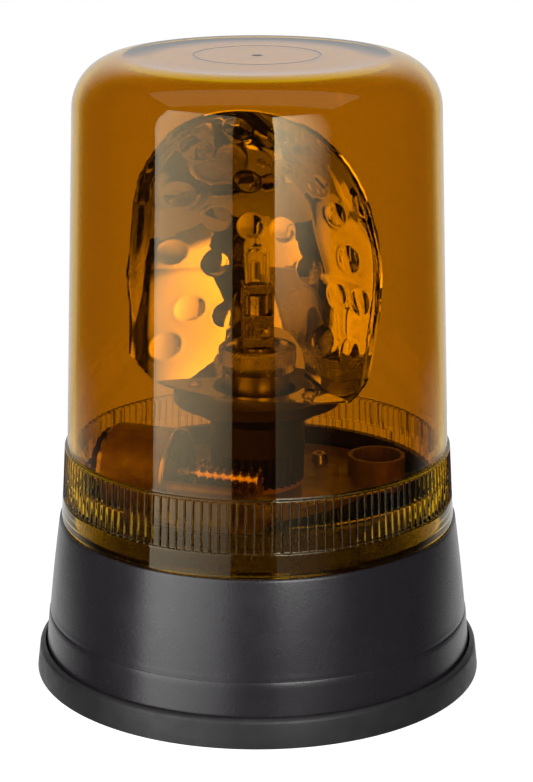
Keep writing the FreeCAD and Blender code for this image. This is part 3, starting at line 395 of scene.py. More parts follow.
def grain_group() -> bpy.types.NodeTree:
    """Return the group that gives the height of a moulded, cast or turned grain.

    Its stretch inputs shrink the pattern along an axis, so that a large one gives fine lines across it.
    """
    if "grain" in bpy.data.node_groups:
        return bpy.data.node_groups["grain"]
    canvas, given, result = shader_group(
        "grain", {"Scale": 900.0, "Along X": 1.0, "Along Y": 1.0, "Along Z": 1.0, "Pits": 0.3}, ("Height",))
    place = canvas.add("ShaderNodeTexCoord")
    stretch = canvas.add("ShaderNodeCombineXYZ")
    laid = canvas.add("ShaderNodeVectorMath", operation="MULTIPLY")
    fine = canvas.add("ShaderNodeTexNoise", {"Detail": 3.0, "Roughness": 0.55})
    pits = canvas.add("ShaderNodeTexVoronoi", {"Randomness": 1.0})
    weighed = canvas.add("ShaderNodeMath", operation="MULTIPLY")
    both = canvas.add("ShaderNodeMath", operation="ADD")
    for axis in "XYZ":
        canvas.wire((given, f"Along {axis}", stretch, axis))
    canvas.wire((place, "Object", laid, 0), (stretch, "Vector", laid, 1))
    for texture in (fine, pits):
        canvas.wire((laid, "Vector", texture, "Vector"), (given, "Scale", texture, "Scale"))
    canvas.wire((pits, "Distance", weighed, 0), (given, "Pits", weighed, 1), (fine, "Fac", both, 0),
                (weighed, "Value", both, 1), (both, "Value", result, "Height"))
    return canvas.tree


def edge_group() -> bpy.types.NodeTree:
    """Return the group that masks sharp edges for a painted highlight, broken up by noise."""
    if "edges" in bpy.data.node_groups:
        return bpy.data.node_groups["edges"]
    canvas, given, result = shader_group("edges", {"Start": 0.52, "Full": 0.62, "Scale": 250.0}, ("Mask",))
    shape = canvas.add("ShaderNodeNewGeometry")
    place = canvas.add("ShaderNodeTexCoord")
    noise = canvas.add("ShaderNodeTexNoise", {"Detail": 4.0})
    ramp = canvas.add("ShaderNodeMapRange")
    broken = canvas.add("ShaderNodeMath", operation="MULTIPLY")
    canvas.wire((shape, "Pointiness", ramp, "Value"), (given, "Start", ramp, "From Min"),
                (given, "Full", ramp, "From Max"), (place, "Object", noise, "Vector"),
                (given, "Scale", noise, "Scale"), (ramp, "Result", broken, 0), (noise, "Fac", broken, 1),
                (broken, "Value", result, "Mask"))
    return canvas.tree


# ------------------------------------------------------------------ finishes

GLOSS_MOTTLE = 2.3  # how much finer the gloss varies than the colour
COAT_ROUGHNESS = 0.12
LOWEST_ROUGHNESS = 0.02
HAZE_SCALE = 30.0
HAZE_SPREAD = 1.6
WAVE_SCALE = 24.0


@dataclass(frozen=True)
class Finish:
    """An opaque finish with a mottled colour, an uneven gloss, a fine grain and, where given, a painted
    highlight on its sharp edges.

    The colours are the two ends of the mottle. The grain's depth is in millimetres, and its stretch is the
    pattern's shrinkage along X, Y and Z.
    """

    name: str
    colour: Colour
    other: Colour
    roughness: float
    roughness_spread: float = 0.08
    metallic: float = 0.0
    mottle_scale: float = 60.0
    grain_scale: float = 900.0
    grain_depth: float = 0.02
    grain_pits: float = 0.3
    stretch: Colour = (1.0, 1.0, 1.0)
    coat: float = 0.0
    specular: float = 0.5
    anisotropic: float = 0.0
    edge_highlight_colour: Colour | None = None

    def material(self) -> bpy.types.Material:
        """Return the finish as a material, built on its first use."""
        if self.name in bpy.data.materials:
            return bpy.data.materials[self.name]
        made, canvas, out = new_material(self.name)
        skin = canvas.add("ShaderNodeBsdfPrincipled", {
            "Metallic": self.metallic, "Coat Weight": self.coat, "Coat Roughness": COAT_ROUGHNESS,
            "Specular IOR Level": self.specular, "Anisotropic": self.anisotropic})
        self._join_colour(canvas, skin)
        gloss = canvas.add("ShaderNodeGroup", {
            "Scale": self.mottle_scale * GLOSS_MOTTLE,
            "Low": max(self.roughness - self.roughness_spread, LOWEST_ROUGHNESS),
            "High": self.roughness + self.roughness_spread}, node_tree=mottle_group())
        stretch = {f"Along {axis}": amount for axis, amount in zip("XYZ", self.stretch)}
        grain = canvas.add("ShaderNodeGroup", {
            "Scale": self.grain_scale, "Pits": self.grain_pits, **stretch}, node_tree=grain_group())
        bump = canvas.add("ShaderNodeBump", {"Strength": 1.0, "Distance": self.grain_depth * MM})
        canvas.wire((skin, "BSDF", out, "Surface"), (gloss, "Value", skin, "Roughness"),
                    (grain, "Height", bump, "Height"), (bump, "Normal", skin, "Normal"))
        return made

    def _join_colour(self, canvas: Canvas, skin: bpy.types.Node) -> None:
        """Join the mottled colour, with its painted highlight on sharp edges where it has them, to the
        shader.

        Args:
            canvas: the material's canvas.
            skin: the Principled node.
        """
        mottle = canvas.add("ShaderNodeGroup", {"Scale": self.mottle_scale}, node_tree=mottle_group())
        last = canvas.add("ShaderNodeMix", {
            "A": (*self.colour, 1.0), "B": (*self.other, 1.0)}, data_type="RGBA")
        canvas.wire((mottle, "Value", last, "Factor"))
        # Painted highlight: sharp edges, found by pointiness, are mixed towards a near-white colour.
        if self.edge_highlight_colour is not None:
            edges = canvas.add("ShaderNodeGroup", node_tree=edge_group())
            edge_highlight = canvas.add("ShaderNodeMix", {"B": (*self.edge_highlight_colour, 1.0)}, data_type="RGBA")
            canvas.wire((last, "Result", edge_highlight, "A"), (edges, "Mask", edge_highlight, "Factor"))
            last = edge_highlight
        canvas.wire((last, "Result", skin, "Base Color"))


@dataclass(frozen=True)
class ClearFinish:
    """A clear finish that light passes through, tinted, with its shadow as pale as the tint."""

    name: str
    tint: Colour
    shadow: Colour
    ior: float
    roughness: float = 0.0
    waviness: float = 0.0
    gleam: Colour = (1.0, 1.0, 1.0)

    def material(self) -> bpy.types.Material:
        """Return the finish as a material, built on its first use."""
        if self.name in bpy.data.materials:
            return bpy.data.materials[self.name]
        made, canvas, out = new_material(self.name)
        skin = canvas.add("ShaderNodeBsdfPrincipled", {
            "Base Color": (*self.tint, 1.0), "Metallic": 0.0, "Transmission Weight": 1.0, "IOR": self.ior,
            "Specular Tint": (*self.gleam, 1.0)})
        open_air = canvas.add("ShaderNodeBsdfTransparent", {"Color": (*self.shadow, 1.0)})
        mixed = canvas.add("ShaderNodeMixShader")
        haze = canvas.add("ShaderNodeGroup", {
            "Scale": HAZE_SCALE, "Low": self.roughness, "High": self.roughness * HAZE_SPREAD},
            node_tree=mottle_group())
        if self.waviness > 0.0:
            grain = canvas.add("ShaderNodeGroup", {
                "Scale": WAVE_SCALE, "Pits": 0.0}, node_tree=grain_group())
            bump = canvas.add("ShaderNodeBump", {"Strength": 1.0, "Distance": self.waviness * MM})
            canvas.wire((grain, "Height", bump, "Height"), (bump, "Normal", skin, "Normal"))
        canvas.join(ray_mask(canvas, (Ray.SHADOW, Ray.DIFFUSE)), mixed.inputs["Fac"])
        canvas.wire((haze, "Value", skin, "Roughness"), (skin, "BSDF", mixed, 1),
                    (open_air, "BSDF", mixed, 2), (mixed, "Shader", out, "Surface"))
        return made


AMBER = ClearFinish("amber_polycarbonate", (0.60, 0.330, 0.004), (0.62, 0.35, 0.02), 1.52, 0.006,
                    gleam=(1.0, 0.95, 0.72))
QUARTZ = ClearFinish("bulb_quartz_glass", (0.97, 0.97, 0.97), (0.95, 0.95, 0.95), 1.46, 0.0)
FOOT_RUBBER = Finish("foot_rubber_matt", (0.022, 0.020, 0.021), (0.034, 0.032, 0.033), 0.42, 0.07,
                     mottle_scale=90.0, grain_scale=1600.0, grain_depth=0.05, grain_pits=0.5)
HOUSING_BLACK = Finish("housing_satin_black", (0.018, 0.015, 0.018), (0.023, 0.020, 0.023), 0.27, 0.03,
                       mottle_scale=40.0, grain_scale=1100.0, grain_depth=0.03, grain_pits=0.5, specular=0.8)
ROTOR_BLACK = Finish("rotor_satin_black", (0.022, 0.020, 0.020), (0.034, 0.031, 0.030), 0.45, 0.06,
                     grain_scale=1500.0, grain_depth=0.02)
# The near-white edge colour is a painted highlight along the cast edges.
CAST_ZINC = Finish("chassis_cast_zinc", (0.20, 0.22, 0.16), (0.38, 0.41, 0.31), 0.42, 0.12, metallic=0.35,
                   mottle_scale=130.0, grain_scale=700.0, grain_depth=0.09, grain_pits=0.7,
                   edge_highlight_colour=(0.80, 0.79, 0.77))
# A brighter zinc than the cast sleeve, used for its front rim: a painted highlight along the rim.
RIM_HIGHLIGHT_ZINC = Finish("sleeve_rim_bare_zinc", (0.62, 0.61, 0.59), (0.78, 0.77, 0.75), 0.24, 0.06, metallic=1.0,
                  grain_depth=0.01)
MOTOR_FACE = Finish("motor_face_dark_steel", (0.05, 0.05, 0.052), (0.09, 0.09, 0.092), 0.30, 0.05,
                    metallic=0.8, grain_depth=0.008)
BRIGHT_STEEL = Finish("motor_bright_steel", (0.55, 0.55, 0.56), (0.68, 0.68, 0.69), 0.26, 0.06, metallic=1.0,
                      grain_scale=500.0, grain_depth=0.012, grain_pits=0.0, stretch=(0.2, 4.0, 4.0))
ZINC_STEEL = Finish("zinc_plated_steel", (0.55, 0.55, 0.57), (0.68, 0.68, 0.70), 0.32, 0.08, metallic=1.0,
                    mottle_scale=200.0, grain_depth=0.01)
SPRING_STEEL = Finish("spring_steel_oiled", (0.42, 0.41, 0.40), (0.55, 0.54, 0.52), 0.28, 0.06, metallic=1.0,
                      grain_scale=600.0, grain_depth=0.008, stretch=(4.0, 4.0, 0.2))
BRONZE = Finish("bush_sintered_bronze", (0.42, 0.27, 0.13), (0.55, 0.37, 0.19), 0.42, 0.08, metallic=1.0,
                grain_scale=1800.0, grain_depth=0.03, grain_pits=0.8)
WORM_BRASS = Finish("worm_turned_brass", (0.82, 0.70, 0.42), (0.90, 0.78, 0.52), 0.16, 0.04, metallic=1.0,
                    grain_scale=500.0, grain_depth=0.01, grain_pits=0.0, stretch=(6.0, 0.5, 0.5))
CONTACT_BRASS = Finish("contact_brass", (0.74, 0.55, 0.24), (0.84, 0.66, 0.34), 0.30, 0.07, metallic=1.0)
MIRROR = Finish("reflector_polished_aluminium", (0.86, 0.86, 0.87), (0.92, 0.92, 0.92), 0.035, 0.015,
                metallic=1.0, mottle_scale=50.0, grain_scale=300.0, grain_depth=0.003, grain_pits=0.0)
SOCKET_METAL = Finish("socket_turned_metal", (0.40, 0.39, 0.38), (0.52, 0.51, 0.50), 0.34, 0.07,
                      metallic=1.0, grain_scale=500.0, grain_depth=0.012, grain_pits=0.0,
                      stretch=(0.3, 0.3, 8.0))
# The near-white edge colour is a painted highlight on the knurl's sharp edges.
KNURL_METAL = Finish("ring_nickel_plate", (0.50, 0.49, 0.47), (0.62, 0.61, 0.58), 0.26, 0.06, metallic=1.0,
                     grain_depth=0.008, edge_highlight_colour=(0.78, 0.77, 0.75))
BULB_METAL = Finish("bulb_pressed_metal", (0.42, 0.41, 0.38), (0.54, 0.52, 0.48), 0.24, 0.06, metallic=1.0,
                    mottle_scale=180.0, grain_depth=0.008)
TUNGSTEN = Finish("filament_tungsten", (0.20, 0.20, 0.21), (0.30, 0.30, 0.31), 0.4, 0.05, metallic=1.0)
PHENOLIC = Finish("insulator_phenolic", (0.14, 0.06, 0.03), (0.20, 0.10, 0.05), 0.5)
MOTOR_BLACK = Finish("motor_cap_black", (0.025, 0.025, 0.026), (0.04, 0.04, 0.04), 0.42)
TERMINAL_GREY = Finish("terminal_moulding", (0.34, 0.33, 0.30), (0.42, 0.41, 0.38), 0.5)
CAPACITOR_YELLOW = Finish("capacitor_dip", (0.52, 0.28, 0.03), (0.60, 0.34, 0.05), 0.25, coat=0.4)
NYLON = Finish("washer_nylon", (0.72, 0.70, 0.64), (0.80, 0.78, 0.72), 0.45)

CAD_FINISHES: dict[str, Finish] = {
    "rubber_foot": FOOT_RUBBER, "base_housing": HOUSING_BLACK, "mounting_inserts": CONTACT_BRASS,
    "cable_grommet": FOOT_RUBBER, "terminal_block": TERMINAL_GREY, "suppressor_capacitor": CAPACITOR_YELLOW,
    "lens_seal": FOOT_RUBBER, "chassis": CAST_ZINC, "chassis_screws": ZINC_STEEL, "deck_rivet": ZINC_STEEL,
    "bearing_post": ZINC_STEEL, "thrust_washer": NYLON, "retaining_ring": SPRING_STEEL,
    "rotor_hub": ROTOR_BLACK, "rotor_bush_lower": BRONZE, "rotor_bush_upper": BRONZE,
    "reflector": MIRROR, "reflector_rivets": ZINC_STEEL, "bulb_socket": SOCKET_METAL,
    "socket_insulator": PHENOLIC, "lamp_contact": CONTACT_BRASS, "bulb_ring": KNURL_METAL,
    "bulb_clamp_plate": BRIGHT_STEEL, "bulb_base": BULB_METAL, "bulb_shell": BULB_METAL,
    "bulb_glass": QUARTZ, "bulb_filament": TUNGSTEN, "motor_can": BRIGHT_STEEL,
    "motor_front_bush": BRIGHT_STEEL, "motor_end_cap": MOTOR_BLACK, "motor_terminals": CONTACT_BRASS,
    "motor_shaft": BRIGHT_STEEL,
    "worm": WORM_BRASS, "lens_dome": AMBER,
}


def dress(piece: bpy.types.Object, finish: Finish | ClearFinish) -> None:
    """Give every material slot of a piece one finish."""
    if not piece.material_slots:
        piece.data.materials.append(finish.material())
    for place in piece.material_slots:
        place.material = finish.material()


# ------------------------------------------------------------------ lens

@dataclass(frozen=True)
class Station:
    """One ring of the lens section: its height and radius, and how far ribs and tracks shape it."""

    height: float
    radius: float
    flute: float = 0.0
    track: float = 0.0
    slot: float = 0.0


@dataclass
class LensDome:
    """Amber dome with its grip band, plain skirt and bayonet tracks, in millimetres."""

    ribs: int = 144
    flute_depth: float = 0.6
    band_bottom: float = 67.1
    band_top: float = 85.8
    band_low_radius: float = 71.4
    band_high_radius: float = 70.3
    skirt_radius: float = 72.0
    bore_radius: float = 67.6
    bore_top: float = 76.5
    wall_start: float = 89.0
    wall_radius: float = 69.25
    crown_radius: float = 64.6
    height: float = 227.1
    wall: float = 2.6
    corner: float = 18.5
    tracks: int = 3
    track_start: float = -60.0
    track_end: float = 9.0
    slot_end: float = -39.5
    track_radius: float = 69.2
    track_top: float = 75.6
    track_floor: float = 67.45
    bottom: float = 58.5
    crown_sink: float = 0.22
    inner_sink: float = 2.0

    def _corner_arc(self, radius: float, top: float, corner: float) -> list[tuple[float, float]]:
        """Return the arc from the wall to the flat top.

        Args:
            radius: the wall's radius carried up to the top.
            top: height of the flat.
            corner: radius of the arc.

        Returns:
            Points of radius and height, from the wall to the flat.
        """
        wall_low = (self.wall_radius - (self.crown_radius - radius), self.wall_start)
        section = rounded_section((Corner(*wall_low), Corner(radius, top, corner), Corner(0.0, top)), 18)
        return section[1:-1]

    def _stations(self) -> list[Station]:
        """Return the rings of the section, up the outside and down the inside."""
        low, high = self.band_bottom, self.band_top
        slope = (self.band_high_radius - self.band_low_radius) / (high - low)
        rings = [Station(self.bottom, self.bore_radius + 0.5, slot=1.0),
                 Station(self.bottom, self.skirt_radius - 0.5),
                 Station(self.bottom + 0.12, self.skirt_radius - 0.15),
                 Station(self.bottom + 0.5, self.skirt_radius),
                 Station(self.bottom + 0.8, self.skirt_radius - 0.02),
                 Station(low - 0.6, self.band_low_radius + 0.10),
                 Station(low - 0.3, self.band_low_radius + 0.08),
                 Station(low - 0.06, self.band_low_radius + 0.02)]
        run = high - low
        for height, flute in ((0.0, 0.0), (0.12, 0.75), (0.35, 1.0), (0.7, 1.0), (run - 1.5, 1.0),
                              (run - 1.1, 1.0), (run - 0.7, 0.85), (run - 0.45, 0.45), (run - 0.3, 0.0)):
            rings.append(Station(low + height, self.band_low_radius + slope * height, flute))
        ledge, wall = self.band_high_radius, self.wall_radius
        rings += [Station(high + 0.02, ledge - 0.05), Station(high + 0.18, ledge - 0.22),
                  Station(high + 0.3, ledge - 0.5), Station(high + 0.36, wall + 0.20),
                  Station(high + 0.6, wall + 0.11), Station(high + 1.0, wall + 0.09),
                  Station(self.wall_start, wall)]
        wall_run = self.height - self.wall_start
        for share in (0.2, 0.4, 0.6, 0.8):
            rings.append(Station(self.wall_start + wall_run * share,
                                 wall + (self.crown_radius - wall) * share))
        rings += [Station(up, across) for across, up in
                  self._corner_arc(self.crown_radius, self.height, self.corner) if up > rings[-1].height]
        for radius, lift in ((45.0, 0.0), (35.0, 0.0), (23.0, 0.0), (22.35, 0.0), (22.27, -0.05),
                             (22.08, -0.05), (22.0, 0.0), (21.4, 0.0), (10.0, 0.0), (2.6, 0.0), (2.2, 0.0),
                             (1.9, 0.05), (1.6, 0.18), (0.9, 0.22), (0.001, 0.22)):
            rings.append(Station(self.height + lift - self.crown_sink, radius))
        inner_top = self.height - self.wall
        rings += [Station(inner_top, radius) for radius in (0.001, 15.0, 30.0, 42.0)]
        inner_arc = self._corner_arc(self.crown_radius - self.wall, inner_top, self.corner - self.wall)
        rings += [Station(up, across) for across, up in reversed(inner_arc)]
        for share in (0.75, 0.5, 0.25, 0.0):
            sink = self.inner_sink if share == 0.75 else 0.0
            rings.append(Station(self.wall_start + wall_run * share - sink,
                                 wall - self.wall + (self.crown_radius - wall) * share))
        rings += [Station(self.bore_top + 4.0, self.bore_radius - 0.7),
                  Station(self.bore_top, self.bore_radius),
                  Station(self.track_top + 0.02, self.bore_radius),
                  Station(self.track_top, self.bore_radius, track=1.0),
                  Station(self.track_floor + 0.02, self.bore_radius, track=1.0),
                  Station(self.track_floor, self.bore_radius, slot=1.0),
                  Station(self.bottom + 0.3, self.bore_radius, slot=1.0)]
        return rings

    def _columns(self) -> tuple[np.ndarray, np.ndarray]:
        """Return the angle of each column, and how deep the flute is there, from 0 on a rib to 1."""
        shares = np.array([0.0, 0.06, 0.11, 0.145, 0.17, 0.5, 0.83, 0.855, 0.89, 0.94])
        depths = np.array([0.0, 0.10, 0.38, 0.80, 1.0, 1.0, 1.0, 0.80, 0.38, 0.10])
        pitch = 2 * math.pi / self.ribs
        angles = (np.arange(self.ribs)[:, None] + shares[None, :]) * pitch
        return angles.reshape(-1), np.tile(depths, self.ribs)

    def _between(self, angles: np.ndarray, start: float, end: float) -> np.ndarray:
        """Return 1 where an angle lies in one of the like spans, given in degrees, and 0 elsewhere."""
        turned = np.mod(np.degrees(angles) - start, 360.0 / self.tracks)
        return (turned <= end - start).astype(float)

    def build(self) -> list[bpy.types.Object]:
        """Build the dome in place of its CAD solid.

        Returns:
            The lens.
        """
        angles, flute = self._columns()
        track = self._between(angles, self.track_start, self.track_end)
        slot = self._between(angles, self.track_start, self.slot_end)
        rings = []
        for station in self._stations():
            radius = np.full(angles.shape, station.radius)
            radius -= station.flute * self.flute_depth * flute
            cut = np.clip(station.track * track + station.slot * slot, 0.0, 1.0)
            radius = radius + (np.maximum(self.track_radius, radius) - radius) * cut
            rings.append(np.stack((radius * np.cos(angles), radius * np.sin(angles),
                                   np.full(angles.shape, station.height)), axis=-1))
        vertices = np.concatenate(rings)
        lens = new_object("lens", vertices, grid_faces(len(rings), len(angles), True, True), 40.0)
        return [place_piece(lens, "lens", AMBER, "lens_dome")]


# ------------------------------------------------------------------ pieces

def place_piece(piece: bpy.types.Object, body: str, finish: Finish | ClearFinish,
                node: str | None = None) -> bpy.types.Object:
    """Dress a new piece, tie it to its body and let it stand for its CAD node.

    Args:
        piece: the new piece.
        body: the body that it rides on.
        finish: what it is dressed in.
        node: the CAD node that it replaces, where it does.

    Returns:
        The piece.
    """
    dress(piece, finish)
    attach(piece, body)
    if node is not None:
        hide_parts(node)
    return piece


def drill(piece: bpy.types.Object, places: Sequence[Vector], radius: float, low: float, high: float) -> None:
    """Cut round holes through a piece, along Z.

    Args:
        piece: the piece to cut.
        places: where the holes are, in millimetres.
        radius: the holes' radius in millimetres.
        low: their lower end in millimetres.
        high: their upper end in millimetres.
    """
    for number, place in enumerate(places):
        section = [(0.0, low), (radius, low), (radius, high), (0.0, high)]
        cutter = turn(f"{piece.name}_drill_{number}", section, 48)
        cutter.data.transform(Matrix.Translation((place.x * MM, place.y * MM, 0.0)))
        cut_away(piece, cutter)


def polar(radius: float, degrees: float) -> Vector:
    """Return the point at a radius and an angle, in millimetres."""
    return Vector((radius * math.cos(math.radians(degrees)), radius * math.sin(math.radians(degrees)), 0.0))


@dataclass
class RubberFoot:
    """Rubber foot: a wide ring with a tapered, rounded rim, in millimetres."""

    radius: float = 82.15
    top_radius: float = 80.9
    height: float = 10.6
    lip_radius: float = 79.1
    sole: float = 3.5
    hole_radius: float = 42.0
    fixing_distance: float = 65.0
    fixing_radius: float = 3.3
    fixing_angles: tuple[float, ...] = (90.0, 210.0, 330.0)

    def build(self) -> list[bpy.types.Object]:
        """Build the foot in place of its CAD solid.

        Returns:
            The foot.
        """
        section = rounded_section((
            Corner(self.hole_radius, 0.02, 0.4), Corner(self.radius, 0.02, 0.5),
            Corner(self.top_radius, self.height, 2.0), Corner(self.lip_radius, self.height, 0.6),
            Corner(self.lip_radius, self.sole, 0.3), Corner(self.hole_radius, self.sole - 0.02, 0.4)), 8)
        foot = turn("foot", section, 220)
        places = [polar(self.fixing_distance, angle) for angle in self.fixing_angles]
        drill(foot, places, self.fixing_radius, -1.0, self.sole + 1.0)
        return [place_piece(foot, "base", FOOT_RUBBER, "rubber_foot")]


@dataclass
class Housing:
    """Skin of the moulded housing, in millimetres: a smooth draught from the foot band to the collar."""

    low: float = 9.0
    high: float = 58.3
    low_radius: float = 78.25
    high_radius: float = 72.72
    bulge: float = 0.40
    depth: float = 1.2
    step_height: float = 22.6
    step: float = 0.27

    def _radius_at(self, height: float) -> float:
        """Return the skin's radius above the step, at a height."""
        share = (height - self.low) / (self.high - self.low)
        straight = self.low_radius + (self.high_radius - self.low_radius) * share
        return straight + self.bulge * 4 * share * (1 - share)

    def build(self) -> list[bpy.types.Object]:
        """Build the skin over the CAD solid.

        Returns:
            The skin.
        """
        line = self.step_height
        outside = [(self._radius_at(height) + self.step, height)
                   for height in np.linspace(self.low, line - 0.5, 8)]
        for drop, out in ((0.30, 0.95), (0.12, 0.80), (0.0, 0.45), (-0.05, -0.1), (-0.25, -0.25),
                          (-0.8, -0.1)):
            outside.append((self._radius_at(line) + self.step * out, line - drop))
        outside += [(self._radius_at(height), height)
                    for height in np.linspace(line + 1.6, self.high - 0.8, 18)]
        top = [(self.high_radius + 0.02, self.high - 0.2), (self.high_radius - 0.25, self.high + 0.12),
               (self.high_radius - 0.6, self.high + 0.15), (self.high_radius - self.depth, self.high + 0.15)]
        section = outside + top + [(self.low_radius - 2.0, self.low)]
        skin = turn("housing_skin", section, 220)
        return [place_piece(skin, "base", HOUSING_BLACK)]


@dataclass
class Reflector:
    """Pressed and dimpled reflector with its flat foot, in millimetres."""

    focal: float = 21.6
    focus_height: float = 146.0
    sheet: float = 0.8
    half_width: float = 48.0
    foot_half: float = 36.3
    foot_top: float = 106.0
    corner_rise: float = 11.5
    low_corner: float = 45.6
    side_bottom: float = 140.0
    side_top: float = 146.0
    shoulder: tuple[float, float] = (43.2, 179.5)
    top: float = 209.3
    lean: float = 18.0
    low_lean: float = 5.0
    foot_front: float = 19.0
    socket_room: float = 16.25
    dimple_radius: float = 4.75
    dimple_depth: float = 0.50
    dimple_lip: float = 0.05
    margin: float = 6.0
    margin_bend: float = 2.2
    crowding: float = 0.82
    back_share: float = 0.8
    side_power: float = 1.75
    corner_power: float = 1.4
    lean_power: float = 1.2
    wave_depths: tuple[float, float, float] = (0.55, 0.65, 0.20)
    lip_place: float = 1.06
    lip_width: float = 0.16
    foot_rows: int = 24
    foot_columns: int = 120
    columns: int = 200
    rows: int = 210
    dimples: tuple[tuple[float, float], ...] = (
        (7.0, 197.4), (4.8, 183.4), (18.2, 179.5), (25.5, 169.4), (39.3, 175.8), (30.8, 154.0),
        (12.5, 146.2), (25.2, 139.4), (-10.6, 161.1), (-10.1, 178.7), (-32.8, 174.2), (-29.9, 131.1),
        (37.0, 140.0),
        (-24.0, 192.0), (-22.0, 163.5), (-36.5, 152.0), (-22.5, 147.0), (-36.0, 118.5), (34.0, 122.0),
        (23.5, 194.5), (-7.5, 200.5), (1.5, 160.0), (-18.0, 128.0), (20.5, 122.5))

    def _bowl(self, x: np.ndarray, z: np.ndarray) -> np.ndarray:
        """Return the depth of the bowl's face before the tool's marks, with its ends leant back."""
        rise = np.clip((z - self.focus_height) / (self.top - self.focus_height), 0.0, None)
        drop = np.clip((self.focus_height - z) / (self.focus_height - self.foot_top), 0.0, None)
        bowl = self.focal - (x * x + (z - self.focus_height) ** 2) / (4 * self.focal)
        return bowl + self.lean * rise ** self.lean_power + self.low_lean * drop ** 2

    def _waves(self, x: np.ndarray, z: np.ndarray) -> np.ndarray:
        """Return the slow waves that pressing left in the sheet."""
        first = np.sin(x / 7.1 + 0.9) * np.cos(z / 8.3 + 0.4)
        second = np.sin(x / 11.7 - z / 9.1 + 2.2)
        third = np.cos(x / 5.3 + z / 13.7 - 1.1)
        slow, broad, fine = self.wave_depths
        return slow * first + broad * second + fine * third

    def _face(self, x: np.ndarray, z: np.ndarray) -> np.ndarray:
        """Return the depth of the finished face: bowl, waves, dimples and rolled margins."""
        depth = self._bowl(x, z) + self._waves(x, z)
        for across, up in self.dimples:
            share = np.sqrt((x - across) ** 2 + (z - up) ** 2) / self.dimple_radius
            cap = np.clip(1 - share ** 2, 0.0, 1.0)
            lip = np.exp(-((share - self.lip_place) / self.lip_width) ** 2)
            depth = depth - self.dimple_depth * cap + self.dimple_lip * lip
        side = np.clip((self.margin - (self._width_at(z) - np.abs(x))) / self.margin, 0.0, 1.0)
        bend = side * side * (3 - 2 * side)
        return depth - self.margin_bend * bend * side

    def _width_at(self, z: np.ndarray) -> np.ndarray:
        """Return the half width of the outline at each height."""
        up = np.asarray(z, dtype=float)
        span = np.clip((up - self.side_top) / (self.shoulder[1] - self.side_top), 0.0, 1.0)
        low = np.clip((self.side_bottom - up) / (self.side_bottom - self.foot_top), 0.0, 1.0)
        side = self.half_width - (self.half_width - self.shoulder[0]) * span ** self.side_power
        side = side - (self.half_width - self.low_corner) * low
        centre, radius = self._crown()
        crown = np.sqrt(np.clip(radius ** 2 - (up - centre) ** 2, 0.0, None))
        return np.where(up > self.shoulder[1], crown, side)

    def _crown(self) -> tuple[float, float]:
        """Return the centre height and the radius of the arc over the shoulders."""
        across, up = self.shoulder
        rise = self.top - up
        radius = (across ** 2 + rise ** 2) / (2 * rise)
        return self.top - radius, radius

    def _top_at(self, x: np.ndarray) -> np.ndarray:
        """Return the outline's upper height at each place across."""
        centre, radius = self._crown()
        crown = centre + np.sqrt(np.clip(radius ** 2 - x ** 2, 0.0, None))
        span = np.clip((self.half_width - np.abs(x)) / (self.half_width - self.shoulder[0]), 0.0, 1.0)
        side = self.side_top + (self.shoulder[1] - self.side_top) * span ** (1 / self.side_power)
        return np.where(np.abs(x) < self.shoulder[0], crown, side)

    def _bottom_at(self, x: np.ndarray) -> np.ndarray:
        """Return the outline's lower height: the cut corners, the foot and the arch round the socket."""
        across = np.abs(x)
        corner = np.clip((across - self.foot_half) / (self.low_corner - self.foot_half), 0.0, 1.0)
        side = np.clip((across - self.low_corner) / (self.half_width - self.low_corner), 0.0, 1.0)
        cut = self.foot_top + self.corner_rise * corner ** self.corner_power
        cut = cut + (self.side_bottom - self.foot_top - self.corner_rise) * side
        room = np.sqrt(np.clip(self.socket_room ** 2 - x ** 2, 0.0, None))
        drop = np.sqrt(np.clip(4 * self.focal * (self.focal - room) - x ** 2, 0.0, None))
        arch = np.maximum(self.focus_height - drop, self.foot_top)
        return np.where(across < self.socket_room, arch, cut)

    def build(self) -> list[bpy.types.Object]:
        """Build the bowl and its foot as one sheet of metal.

        Returns:
            The reflector.
        """
        crowd = math.pi / 2 * self.crowding
        across = self.half_width * np.sin(np.linspace(-1.0, 1.0, self.columns) * crowd) / math.sin(crowd)
        share = np.linspace(0.0, 1.0, self.rows)[:, None]
        x = np.repeat(across[None, :], self.rows, axis=0)
        low, high = self._bottom_at(across)[None, :], self._top_at(across)[None, :]
        z = low + (high - low) * share
        front = np.stack((x, self._face(x, z), z), axis=-1)
        normal = np.cross(np.gradient(front, axis=0), np.gradient(front, axis=1))
        normal /= np.linalg.norm(normal, axis=-1, keepdims=True)
        back = front + normal * self.sheet * self.back_share
        bowl = self._sheet("reflector_sheet", front, back)
        bowl.data = joined(bowl, self._foot())
        return [place_piece(bowl, "rotor", MIRROR, "reflector")]

    def _sheet(self, name: str, front: np.ndarray, back: np.ndarray) -> bpy.types.Object:
        """Close two like grids of points into a sheet.

        Args:
            name: the sheet's name.
            front: rows and columns of points on one face.
            back: the same on the other face.

        Returns:
            The closed sheet.
        """
        rows, columns = front.shape[:2]
        count = rows * columns
        faces = grid_faces(rows, columns, False, False)
        faces += [tuple(count + corner for corner in reversed(face)) for face in faces[:]]
        rim = list(range(columns))
        rim += [row * columns + columns - 1 for row in range(1, rows)]
        rim += [(rows - 1) * columns + column for column in range(columns - 2, -1, -1)]
        rim += [row * columns for row in range(rows - 2, 0, -1)]
        for here, there in zip(rim, rim[1:] + rim[:1]):
            faces.append((there, here, count + here, count + there))
        return new_object(name, np.concatenate((front.reshape(-1, 3), back.reshape(-1, 3))), faces, 40.0)

